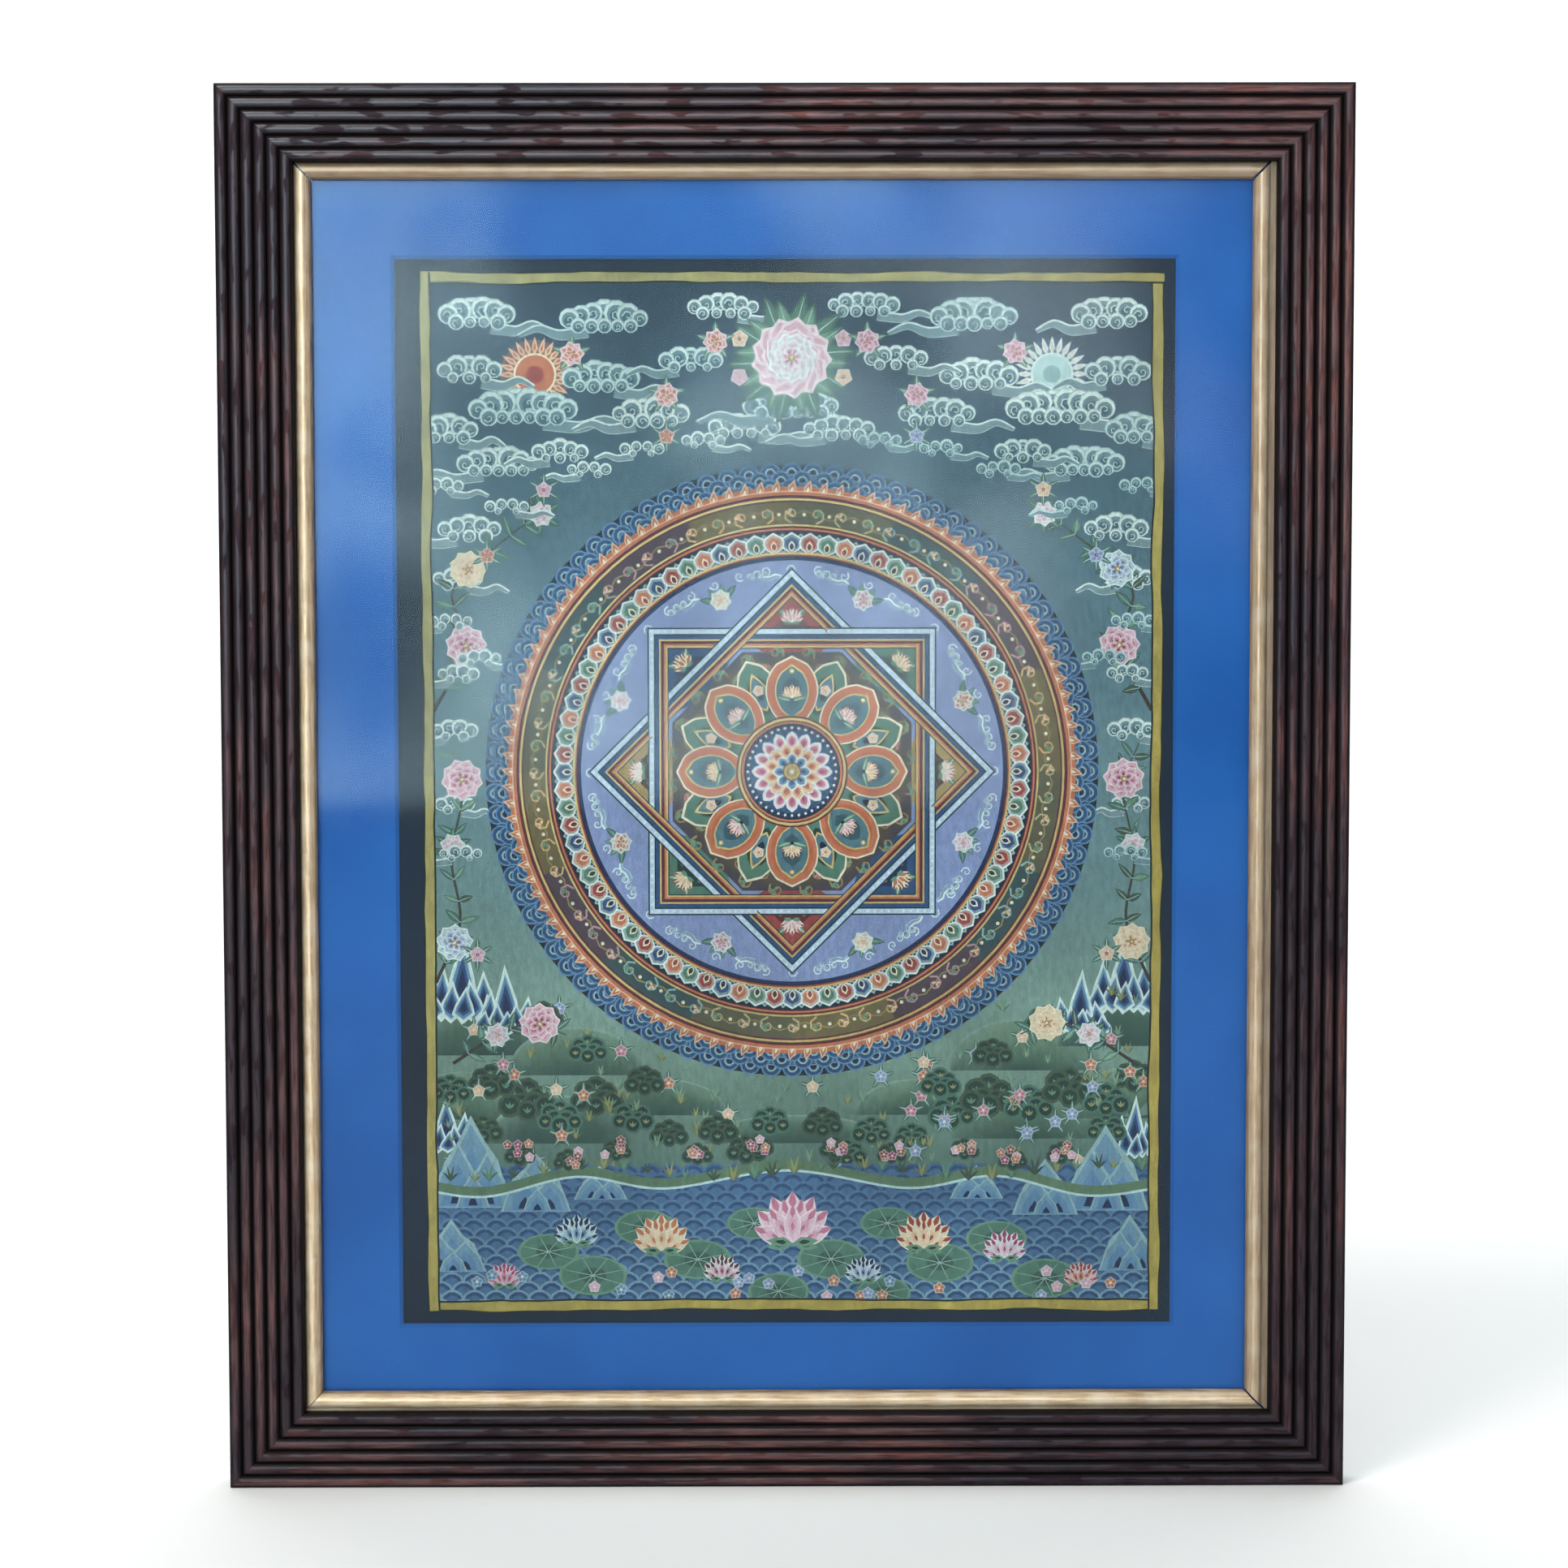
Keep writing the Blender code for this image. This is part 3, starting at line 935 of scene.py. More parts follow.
def lily_pad(radius):
    coats = [(1, LEAF), (0.9, GREEN), (0.4, mixed(GREEN, DARK_LEAF, 0.5)), (0, DARK_LEAF)]
    pad = disc(radius, coats, 20, 1.7)
    ribs = []
    for angle in (0.3, 1.1, 1.9, 2.8, 3.6, 4.3, 5.0, 5.8):
        end = (radius * 1.5 * math.cos(angle), radius * 0.88 * math.sin(angle))
        ribs.append(stroke([(0, 0), end], [0.5, 0.2], mixed(LEAF, PALE, 0.4)))
    return joined([pad, *ribs])


def puff(radius, rim, body, below, seed=0):
    """One scallop of a cloud with its curl."""
    coats = [
        (1, mixed(rim, below, 0.35)), (0.93, rim), (0.74, mixed(rim, body, 0.85)),
        (0.5, mixed(body, below, 0.45)),
    ]
    ball = disc(radius, coats, 10, heart=(0, -radius * 0.55))
    start = 200 + 40 * (seed % 5)
    curl = spiral(radius * 0.5, 1.0, radius * 0.1 + 0.25, mixed(rim, body, 0.2), 7, start)
    if seed % 2:
        curl = moved(curl, flip=True)
    return joined([ball, moved(curl, (0, -radius * 0.15))])


def cloud(width, height, count, seed, rim=CHALK, body=TEAL, below=DEEP_TEAL):
    """A bank of scallops, biggest in the middle, with a trailing tail on one side."""
    draw = random.Random(seed)
    scallops = []
    side = 1 if draw.random() < 0.5 else -1
    tail = curve_points([
        (side * width * 0.2, -height * 0.2), (side * width * 0.55, -height * 0.32),
        (side * width * 0.8, -height * 0.1), (side * width * 1.05, -height * 0.35),
    ], 4)
    swell = [height * 0.34 * (1 - i / len(tail)) ** 0.7 + 0.2 for i in range(len(tail))]
    scallops.append(stroke(tail, [w + 1.1 for w in swell], rim))
    scallops.append(stroke(tail - np.array([0, 0.35]), swell, mixed(body, rim, 0.2)))
    spots = []
    for step in range(count):
        share = (step + 0.5) / count * 2 - 1
        reach = math.sqrt(max(0.0, 1 - share**2))
        size = height * (0.2 + 0.2 * reach) * draw.uniform(0.85, 1.15)
        spots.append((share * width / 2, height * 0.42 * reach, size))
    for step in range(max(count - 2, 2)):
        share = (step + 0.5) / max(count - 2, 2) * 2 - 1
        spots.append((share * width * 0.4, -height * 0.02, height * draw.uniform(0.2, 0.3)))
    for x, y, radius in sorted(spots, key=lambda spot: -spot[1]):
        scallops.append(moved(puff(radius, rim, body, below, draw.randrange(99)), (x, y)))
    return joined(scallops)


def jagged(width, height, teeth, draw, slump=0.5):
    """Outline of a crag or peak: a broken line up to the top and down again."""
    line = [(-width / 2, 0)]
    for i in range(1, teeth * 2):
        share = i / (teeth * 2)
        climb = 1 - abs(2 * share - 1) ** (1.15 + slump)
        notch = 0.10 if i % 2 else -0.06
        line.append((width * (share - 0.5), height * max(climb + notch * draw.uniform(0.4, 1.2), 0.06)))
    line.append((width / 2, 0))
    return line


def crag(width, height, seed, edge=MIST, face=SKY_BLUE, core=INDIGO):
    """A blue and green rock in stacked slabs, each pale at its edge."""
    draw = random.Random(seed)
    slabs = []
    sizes = [(1.0, 1.0, 0.0), (0.7, 0.72, -0.16), (0.62, 0.62, 0.2), (0.42, 0.4, 0.02)]
    for wide, tall, shift in sizes:
        outline = jagged(width * wide, height * tall, 3, draw)
        coats = [(1, edge), (0.9, mixed(edge, face, 0.7)), (0.62, face), (0, core)]
        slab = shape(outline, coats, heart=(0, height * tall * 0.1))
        slabs.append(moved(slab, (width * shift, 0)))
    return joined(slabs)


def snow_peak(width, height, seed):
    """A cluster of pointed peaks, white along their edges and blue in their hollows."""
    draw = random.Random(seed)
    peaks = []
    for spot, share in (
        (-0.3, 0.66), (0.32, 0.6), (0.0, 1.0), (-0.16, 0.5), (0.17, 0.46), (-0.4, 0.34), (0.42, 0.32),
        (0.02, 0.4),
    ):
        tall = height * share * draw.uniform(0.92, 1.08)
        coats = [(1, CHALK), (0.84, PALE), (0.74, SKY_BLUE), (0.52, LAPIS), (0.3, INDIGO)]
        one = petal(tall, width * 0.42 * (0.6 + share * 0.5), coats, 1.15, 4, 0.5, draw.uniform(-2, 2))
        peaks.append(moved(one, (spot * width, draw.uniform(-1, 1))))
    return joined(peaks)


def hill(width, height, rim, body, foot):
    outline = [(-width / 2, 0)]
    for i in range(1, 20):
        angle = math.pi * (1 - i / 20)
        outline.append((width / 2 * math.cos(angle), height * math.sin(angle) ** 0.85))
    outline.append((width / 2, 0))
    coats = [(1, rim), (0.93, mixed(rim, body, 0.6)), (0.6, body), (0, foot)]
    mound = shape(outline, coats, (0, 0.1), smooth=True)
    return faded(mound, foot, 0, height * 0.6, 0.7)


def bush(radius, seed, dark=DARK_LEAF, middle=MOSS, mark=LEAF):
    """A clipped round shrub of overlapping tufts with pale sprigs."""
    draw = random.Random(seed)
    tufts = []
    spots = [
        (0.0, 0.55), (-0.5, 0.35), (0.5, 0.32), (-0.25, 0.05), (0.3, 0.0), (-0.72, -0.1), (0.74, -0.12),
        (0.0, -0.3),
    ]
    for x, y in spots:
        reach = radius * draw.uniform(0.42, 0.55)
        tuft = disc(reach, [(1, mixed(middle, dark, 0.2)), (0.72, dark)], 9)
        tufts.append(moved(tuft, (x * radius, y * radius)))
        for turn in (-38, 0, 38):
            sprig = petal(reach * 0.62, reach * 0.2, [(1, mixed(mark, middle, 0.25))], 1.0, 2)
            tufts.append(moved(sprig, (x * radius, y * radius - reach * 0.25), turn))
    return joined(tufts)


def tuft(height, paint):
    """Four blades of grass."""
    blades = []
    for turn, share in ((-30, 0.72), (27, 0.75), (-10, 1.0), (9, 0.92)):
        coats = [(1, mixed(paint, DARK_LEAF, 0.02 * abs(turn)))]
        blade = petal(height * share, height * 0.16, coats, 1.0, 3, bend=-turn * height / 160)
        blades.append(moved(blade, turn=turn))
    return joined(blades)


# %% [markdown]
# The layout is in millimetres from the middle of the window. It is painted from back to front:
# the sky, the clouds, the hills and the pond, the sprays at both sides, the wheel, and last the
# dark band with its yellow line, which a hand drew and which is not quite even.

# %% Layout
FIELD_LEFT, FIELD_RIGHT, FIELD_LOW, FIELD_HIGH = -172.3, 179.0, -250.0, 250.0
CLOTH_HALF = (198.0, 269.75)
MIDDLE = (3.0, 12.0)


def wash(left, right, low, high, cells, stops):
    """A rectangle whose colour changes with height. stops are (height, pigment), lowest first."""
    work = bmesh.new()
    colour = work.verts.layers.float_color.new("pigment")
    bmesh.ops.create_grid(work, x_segments=cells[0], y_segments=cells[1], size=0.5)
    to_middle = Matrix.Translation(((left + right) / 2, (low + high) / 2, 0))
    to_size = Matrix.Diagonal((right - left, high - low, 1, 1))
    bmesh.ops.transform(work, matrix=to_middle @ to_size, verts=work.verts)
    heights = [height for height, paint in stops]
    for vertex in work.verts:
        shade = [
            np.interp(vertex.co.y, heights, [paint[i] for height, paint in stops])
            for i in range(4)
        ]
        cloudy = 1 + 0.14 * noise.noise(Vector((vertex.co.x / 60, vertex.co.y / 40, 3)))
        vertex[colour] = [*(np.array(shade[:3]) * cloudy), shade[3]]
    return traced(work)


def sky():
    heights = (-270, -190, -120, -40, 60, 150, 225, 270)
    paints = [
        pigment(46, 78, 74), pigment(78, 108, 98), pigment(118, 146, 130), pigment(104, 136, 138),
        pigment(88, 122, 134), pigment(70, 102, 118), pigment(46, 72, 92), pigment(36, 58, 78),
    ]
    return wash(-198, 198, -270, 270, (9, 26), list(zip(heights, paints)))


def bands(radius, widths, corners=96, turn=0.0):
    """Rings of flat colour from a radius inwards, with the inside left open."""
    coats, reach = [], radius
    for width, paint in widths:
        coats += [(reach / radius, paint), ((reach - width) / radius, paint)]
        reach -= width
    return polygon(corners, radius, coats, turn, hollow=True)


def sector(inner, outer, start, end, coats, steps=6):
    """Part of a ring between two angles, clockwise from the top."""
    angles = [math.radians(start + (end - start) * i / steps) for i in range(steps + 1)]
    outline = [(outer * math.sin(a), outer * math.cos(a)) for a in angles]
    outline += [(inner * math.sin(a), inner * math.cos(a)) for a in reversed(angles)]
    middle = math.radians((start + end) / 2)
    reach = (inner + outer) / 2
    return shape(outline, coats, heart=(reach * math.sin(middle), reach * math.cos(middle)))


def scroll(size, paint, leaf_paint):
    """A curled tendril with three small leaves."""
    parts = [spiral(size, 1.2, size * 0.24, paint, 9, start=-90)]
    for turn, share in ((20, 0.75), (-50, 0.6), (110, 0.55)):
        one = petal(size * share, size * 0.32, [(1, leaf_paint)], 1.0, 3)
        parts.append(moved(one, (size * 0.3, 0), turn))
    return joined(parts)


def pair(pattern, x, y, turn=0.0, flip=False):
    """A pattern on the left and again on the right, turned the other way."""
    return joined([moved(pattern, (-x, y), turn), moved(pattern, (x, y), -turn, flip=flip)])


def alternating(make, count, radius):
    """A ring of patterns that are made by number, with every second one mirrored."""
    return around(None, count, radius, each=lambda i: moved(make(i), flip=i % 2 == 0))


def outer_rings():
    """Wave scallops, flames, a scroll band and a row of lotus petals."""
    layers = []
    add = layers.append
    add(disc(150.5, [(1, NIGHT)], 96))
    # Outer sea: three rows of wave scallops, pale at their crests
    dark_scale = scale_of(5.2, [(1, SKY_BLUE), (0.84, LAPIS)], 7)
    crest = joined([dark_scale, scale_of(2.7, [(1, MIST), (0.66, INDIGO)], 5)])
    add(around(crest, 88, 146.2))
    add(around(crest, 86, 142.2, start=2.1))
    add(around(crest, 82, 138.4))
    # Flames, then a wine line
    add(disc(139.6, [(1, ORANGE), (0.985, PEACH), (0.965, ORANGE)], 96))
    tongue = petal(6.8, 4.0, [(1, PEACH), (0.72, ORANGE)], 0.9, 4, 0.62, 1.4)
    add(around(joined([tongue, petal(3.6, 1.8, [(1, CREAM)], 0.9, 3, 0.7, 0.6)]), 112, 136.0))
    add(bands(137.0, [(1.6, ORANGE), (1.5, WINE), (1.1, GOLD), (1.0, WINE)]))
    # Scroll band in alternating grounds
    grounds = [pigment(92, 88, 66), pigment(52, 76, 80), pigment(82, 64, 76), pigment(110, 94, 58)]
    for step in range(16):
        add(sector(119.5, 132.0, step * 22.5, (step + 1) * 22.5, [(1, grounds[step % 4])], 6))
    turns = np.linspace(0, 2 * math.pi, 65)
    vine = curve_points([(126 * math.sin(a), 126 * math.cos(a)) for a in turns], 2)
    sway = 1 + 0.016 * np.sin(np.linspace(0, 64 * math.pi, len(vine)))
    add(stroke(vine * sway[:, None], 0.7, DULL_GOLD))
    lights = [
        pigment(176, 164, 112), pigment(124, 166, 166), pigment(184, 132, 142), pigment(206, 158, 92),
    ]
    add(alternating(lambda i: scroll(4.2, lights[(i // 4) % 4], (PEACH, LEAF)[i % 2]), 64, 126.0))
    add(around(disc(1.0, [(1, CREAM)], 5), 64, 126.0, start=2.8))
    add(bands(121.2, [(0.9, GOLD), (1.0, WINE), (0.9, ORANGE), (0.6, WINE)]))
    # Lotus petals
    add(disc(117.9, [(1, NIGHT)], 96))
    tones = [(LAPIS, INDIGO), (RED, WINE), (GREEN, DARK_LEAF), (ORANGE, RED)]

    def lotus_petal(i):
        bright, deep = tones[i % 4]
        pale = [(1, CHALK), (0.84, mixed(bright, CHALK, 0.3)), (0.62, bright)]
        inner = petal(5.6, 3.4, [(1, CREAM), (0.66, deep)], 0.7, 3, 1.0)
        return joined([petal(11.0, 10.6, pale, 0.5, 4, 1.1), moved(inner, (0, 1.2))])

    add(around(petal(10.2, 7.0, [(1, MIST), (0.8, PLUM)], 0.6, 3, 1.1), 80, 106.8, start=2.25))
    add(around(None, 80, 106.4, each=lotus_petal))
    add(bands(107.6, [(1.0, GOLD), (0.8, RED), (0.8, NIGHT)]))
    return joined(layers)


def flower_ground():
    """Blue ground with curls, eight flowers and wisps of cloud."""
    layers = []
    add = layers.append
    add(disc(105.2, [(1, INDIGO), (0.985, LAVENDER)], 96))
    add(alternating(lambda i: spiral(2.6, 1.2, 0.7, CHALK, 9, 60 * i), 48, 99.0))
    for step in range(8):
        angle = 22.5 + 45 * step
        paint = (ROSE, ORANGE, PINK, PEACH)[step % 4]
        flower = joined([
            pair(leaf(9, 3.6, GREEN, MIST), 2, 0, 62),
            pair(leaf(7, 3.0, LEAF, MIST), 1, 1, 24),
            peony(5.6, mixed(paint, WINE, 0.5), paint, CHALK, 7, step),
        ])
        add(around(flower, 1, 91.0, start=angle))
        for side in (-1, 1):
            small = cloud(11, 4.4, 3, step * 2 + side, CHALK, SKY_BLUE, LAPIS)
            add(around(moved(small, flip=side > 0), 1, 96.5, start=angle + side * 12.5))
    return joined(layers)


def crossed_squares():
    """Star of two striped squares, woven over and under each other, with filled tips."""
    layers = []
    add = layers.append
    stripes = [
        (0.7, NIGHT), (2.4, pigment(176, 196, 216)), (0.6, NIGHT), (2.0, LAPIS), (0.8, GOLD),
        (1.5, WINE), (1.0, ORANGE), (0.8, GOLD), (0.5, NIGHT),
    ]
    stripes = [(width * math.sqrt(2), paint) for width, paint in stripes]
    reach = 100.0
    fills = [(RED, WINE), (GREEN, DARK_LEAF), (OCHRE, UMBER), (LAPIS, INDIGO)]
    blooms = [(PINK, MAGENTA), (PEACH, RED), (BLUSH, ROSE), (ORANGE, WINE)]
    for step in range(8):
        bright, deep = fills[step % 4]
        tip = shape(
            [(0, reach - 8), (-26, reach - 34), (0, 50), (26, reach - 34)], [(1, bright), (0, deep)],
            heart=(0, 70),
        )
        charm = joined([
            pair(scroll(4.4, DULL_GOLD, LEAF), 6.5, -8, flip=True),
            pair(leaf(10, 3.6, LEAF, CREAM), 0, -2, 48),
            moved(lotus(8.2, CREAM, *blooms[step % 4]), (0, -3)),
        ])
        add(around(tip, 1, 0, start=45 * step))
        add(around(charm, 1, 76.0, start=45 * step))
    half = (reach - 1.9 * math.sqrt(2)) / math.sqrt(2)
    bead = disc(0.75, [(1, CHALK)], 5)
    row = joined([moved(bead, (x, half)) for x in np.linspace(-half, half, 40)])
    for turn in (45.0, 0.0):
        add(bands(reach, stripes, 4, turn))
        add(joined([moved(row, turn=90 * i + 45.0 - turn) for i in range(4)]))
    # The first square passes over again at every second crossing
    cross = (reach / math.sqrt(2)) * math.tan(math.radians(22.5))
    left, right, over = cross - 12, cross + 12, []
    height = reach / math.sqrt(2)
    for width, paint in stripes:
        low = height - width / math.sqrt(2)
        over.append(shape([(left, height), (right, height), (right, low), (left, low)], [(1, paint)]))
        height = low
    over += [moved(bead, (x, half)) for x in np.linspace(left + 1, right - 1, 8)]
    for step in range(4):
        add(moved(joined(over), turn=90 * step))
    return joined(layers)


def hub():
    """The inner disc with its two rings of petals and the rosette."""
    layers = []
    add = layers.append
    add(polygon(8, 63.5, [(1, pigment(74, 66, 74))], 22.5))
    add(around(scroll(4.8, DULL_GOLD, LEAF), 24, 58.5, start=7.5))
    add(disc(56.5, [(1, pigment(86, 70, 60)), (0.9, pigment(98, 92, 70))], 64))
    add(alternating(lambda i: scroll(4.0, DULL_GOLD, (LEAF, ROSE)[i % 2]), 24, 52.0))
    add(around(None, 8, 24.0, start=22.5, each=lambda i: joined([
        petal(35, 20, [(1, CREAM), (0.93, GREEN), (0.6, DARK_LEAF), (0, NIGHT)], 0.55, 8, 1.05),
        moved(petal(20, 9, [(1, GOLD), (0.85, TEAL), (0, NIGHT)], 0.8, 6), (0, 8)),
        moved(blossom(3.0, PEACH, RED), (0, 19)),
    ])))
    glow = [(1, CREAM), (0.95, ORANGE), (0.8, pigment(190, 88, 52)), (0, RED)]
    add(around(None, 8, 22.0, each=lambda i: joined([
        petal(35, 26, glow, 0.5, 9, 1.05),
        bands_petal(27, 17),
        moved(lotus(7.4, CREAM, (PEACH, PINK)[i % 2], (RED, MAGENTA)[i % 2]), (0, 14)),
        pair(leaf(7, 2.8), 1, 13, 74),
        moved(disc(1.3, [(1, GOLD), (0, CREAM)], 8), (0, 27.5)),
    ])))
    add(disc(27.5, [(1, WINE)], 48))
    add(bands(26.6, [(1.2, GOLD), (0.7, WINE), (1.0, ORANGE), (0.8, NIGHT)], 48))
    add(disc(23.0, [(1, INDIGO), (0.9, LAPIS), (0.7, NIGHT)], 48))
    add(around(disc(0.7, [(1, CHALK)], 6), 40, 21.6))
    pink = [(1, CHALK), (0.85, BLUSH), (0.6, ROSE), (0, MAGENTA)]
    peach = [(1, CREAM), (0.85, PEACH), (0.5, ORANGE), (0, RED)]
    add(around(petal(9.4, 6.2, pink, 0.55, 5, 1.05), 16, 10.6))
    add(around(petal(8.6, 6.0, peach, 0.55, 5, 1.05), 12, 6.0, start=15))
    add(around(petal(7.0, 5.2, [(1, CHALK), (0.8, SKY_BLUE), (0, INDIGO)], 0.55, 5, 1.05), 8, 2.6))
    add(disc(4.6, [(1, WINE), (0.86, GOLD), (0.5, OCHRE), (0, CREAM)], 20))
    add(around(disc(0.5, [(1, WINE)], 5), 8, 2.6))
    return joined(layers)


def bands_petal(length, width):
    coats = [(1, GOLD), (0.93, GOLD), (0.925, TEAL), (0.6, DEEP_TEAL), (0, NIGHT)]
    rim = petal(length, width, coats, 0.55, 7, 1.05)
    return moved(rim, (0, 4))


def spray(places, flowers, seed, size=1.0):
    """A branch with leaves and flowers. A flower is (share of the way, pattern)."""
    draw = random.Random(seed)
    line = curve_points(places)
    parts = [stroke(line, np.linspace(1.9, 0.7, len(line)) * size, UMBER, MOSS)]
    for i in range(2, len(line) - 1, 2):
        ahead = line[i] - line[i - 1]
        angle = math.degrees(math.atan2(-ahead[0], ahead[1]))
        for side in (-1, 1):
            long, wide = draw.uniform(8, 12) * size, draw.uniform(3.2, 4.6) * size
            paint = (LEAF, GREEN, MOSS)[draw.randrange(3)]
            blade = leaf(long, wide, paint, MIST, draw.uniform(-2, 2) * size)
            parts.append(moved(blade, line[i], angle + side * draw.uniform(45, 75)))
    for share, flower in flowers:
        spot = line[min(int(share * (len(line) - 1)), len(line) - 1)]
        for turn in range(0, 360, 60):
            green = leaf(11 * size, 4.4 * size, GREEN, MIST)
            parts.append(moved(green, spot, turn + draw.uniform(-15, 15)))
        parts.append(moved(flower, spot, draw.uniform(0, 90)))
    return joined(parts)


def waves(left, right, low, high, seed):
    """Rows of wave scallops, darker towards the back."""
    draw = random.Random(seed)
    base = shape([(left, low), (right, low), (right, high), (left, high)], [(1, INDIGO)])
    parts = [base]
    rows = int((high - low) / 4.5)
    for row in range(rows, -1, -1):
        height = low + row * 4.5
        depth = row / rows
        light = mixed(SKY_BLUE, MIST, 0.5 * (1 - depth))
        coats = [(1, mixed(light, LAPIS, depth * 0.6)), (0.82, LAPIS)]
        scale = scale_of(6.6, [*coats, (0.56, mixed(LAPIS, SKY_BLUE, 0.45))], 7)
        count = int((right - left) / 10.8)
        for i in range(count + 1):
            x = left + (i + (row % 2) / 2) * (right - left) / count
            if left - 1 < x < right + 1:
                parts.append(moved(scale, (x + draw.uniform(-0.3, 0.3), height)))
    return joined(parts)


def scattered(spots, motif):
    """One stamp for each spot, which is (x, y) and then whatever the motif needs."""
    return [moved(motif(*needs), (x, y)) for x, y, *needs in spots]


def numbered(spots):
    return [(*spot, number) for number, spot in enumerate(spots)]


def posy(length, width, count, radius, flower):
    """A flower on a ring of leaves."""
    return joined([around(leaf(length, width, GREEN, PALE), count, radius), flower])


def upper_sky():
    """The ground colour, sun and moon, cloud banks and a great peony in their middle."""
    ray = petal(9, 3.0, [(1, PEACH), (0, ORANGE)], 1.0, 3, 0.6)
    sun = [
        disc(17, [(1, pigment(120, 92, 96)), (0.8, pigment(150, 96, 84))], 28), around(ray, 24, 9.5),
        disc(10.5, [(1, CREAM), (0.9, ORANGE), (0, RED)], 24),
    ]
    moon = [
        disc(17, [(1, pigment(70, 96, 126)), (0.8, pigment(94, 122, 152))], 28),
        around(tinted(ray, CHALK, 0.75), 24, 9.5), disc(10.5, [(1, CHALK), (0.9, PALE), (0, MIST)], 24),
    ]
    banks = [
        (-150, 232, 34, 15, 6, 1), (-88, 230, 40, 15, 7, 2), (-30, 236, 34, 12, 6, 3),
        (38, 237, 34, 12, 6, 4), (92, 231, 40, 15, 7, 5), (158, 232, 34, 15, 6, 6),
        (-154, 205, 30, 14, 5, 7), (-90, 201, 34, 15, 6, 8), (94, 202, 36, 15, 6, 9),
        (162, 204, 30, 14, 5, 10), (-128, 186, 50, 17, 8, 11), (134, 186, 50, 17, 8, 12),
        (-164, 176, 26, 14, 5, 13), (170, 176, 24, 14, 5, 14), (-66, 184, 36, 14, 6, 15),
        (74, 184, 36, 14, 6, 16), (-46, 210, 30, 12, 5, 17), (54, 211, 30, 12, 5, 18),
        (-140, 160, 38, 14, 7, 19), (146, 160, 36, 14, 7, 20), (-20, 178, 34, 12, 6, 21),
        (26, 177, 34, 12, 6, 22), (3, 188, 44, 15, 8, 23), (-110, 166, 26, 11, 5, 24),
        (116, 166, 26, 11, 5, 25),
    ]

    def bank(width, height, count, seed):
        return cloud(width, height, count, seed, mixed(CHALK, PALE, (seed % 3) / 3))

    crown = joined([
        around(leaf(24, 9, GREEN, PALE, 2), 10, 9, start=9),
        around(leaf(20, 8, LEAF, PALE, -2), 10, 9, start=27),
        around(blossom(4.6, PINK, OCHRE), 2, 27, start=70),
        around(blossom(4.6, PEACH, WINE), 2, 27, start=110),
        peony(20, WINE, ROSE, BLUSH, 13, 5), peony(12.5, MAGENTA, PINK, CHALK, 11, 6),
    ])

    def bud(seed):
        flower = peony(6.4, (WINE, RED)[seed % 2], (ROSE, ORANGE)[seed % 2], BLUSH, 7, seed)
        return joined([around(leaf(7, 3), 5, 3), flower])

    buds = [(-34, 222, 1), (40, 222, 2), (-58, 196, 3), (64, 196, 4), (-104, 216, 5), (112, 217, 6)]
    lights = [moved(joined(sun), (-122, 206)), moved(joined(moon), (130, 206))]
    return [sky(), *lights, *scattered(banks, bank), moved(crown, (3, 214)), *scattered(buds, bud)]


def hillside():
    """Hazy hills, snow peaks, clipped shrubs, and small flowers and grass on the slopes."""
    hills = [
        (-150, -128, 70, 26, 1),
        (-104, -138, 66, 24, 2), (118, -136, 74, 26, 3), (164, -124, 60, 28, 4),
        (-60, -158, 60, 18, 5), (66, -158, 64, 18, 6), (-160, -160, 62, 24, 7), (-112, -172, 70, 24, 8),
        (4, -172, 90, 14, 9), (120, -170, 76, 24, 10), (170, -160, 56, 26, 11),
    ]
    peaks = [
        (-160, -112, 34, 46, 1),
        (-138, -118, 30, 34, 2), (166, -108, 32, 44, 3), (145, -118, 28, 30, 4),
        (-168, -176, 26, 30, 5), (172, -180, 24, 32, 6),
    ]
    shrubs = [
        (-94, -150, 11), (-76, -160, 9), (-128, -152, 12), (-112, -160, 10), (-146, -142, 10),
        (82, -158, 10), (100, -150, 12), (120, -154, 11), (140, -146, 12), (158, -152, 10),
        (-58, -168, 8), (62, -170, 8), (172, -140, 9), (-166, -146, 9),
    ]
    low_shrubs = [
        (-34, -166), (-8, -162), (18, -163), (42, -167), (-150, -166), (-98, -126), (102, -128),
        (158, -166), (-70, -142), (76, -143), (-120, -110), (128, -112), (-20, -176), (30, -178),
    ]

    def mound(width, height, seed):
        body = mixed(pigment(64, 96, 82), pigment(96, 126, 100), (seed % 4) / 3)
        return hill(width, height, pigment(130, 155, 140), body, pigment(44, 74, 70))

    def shrub(radius, number, first_seed=0):
        sprigs = (LEAF, DRY_GRASS)[number % 2]
        return bush(radius, first_seed + number, DARK_LEAF, (MOSS, GREEN)[number % 2], sprigs)

    parts = scattered(hills, mound) + scattered(peaks, snow_peak) + scattered(numbered(shrubs), shrub)
    draw = random.Random(12)
    for i in range(150):
        place = draw.uniform(-170, 177), draw.uniform(-186, -98)
        if math.dist(place, MIDDLE) < 156:
            continue
        if i % 3 == 0:
            flower = blossom(3.4, (ROSE, ORANGE, PEACH, LAVENDER)[(i // 3) % 4], CREAM)
            plant = posy(5.5, 2.2, 5, 1.5, flower)
        else:
            plant = tuft(draw.uniform(5, 8), (LEAF, DRY_GRASS, pigment(126, 160, 128))[i % 3])
        parts.append(moved(plant, place))
    return parts + scattered(numbered(low_shrubs), lambda number: shrub(8.5, number, 60))


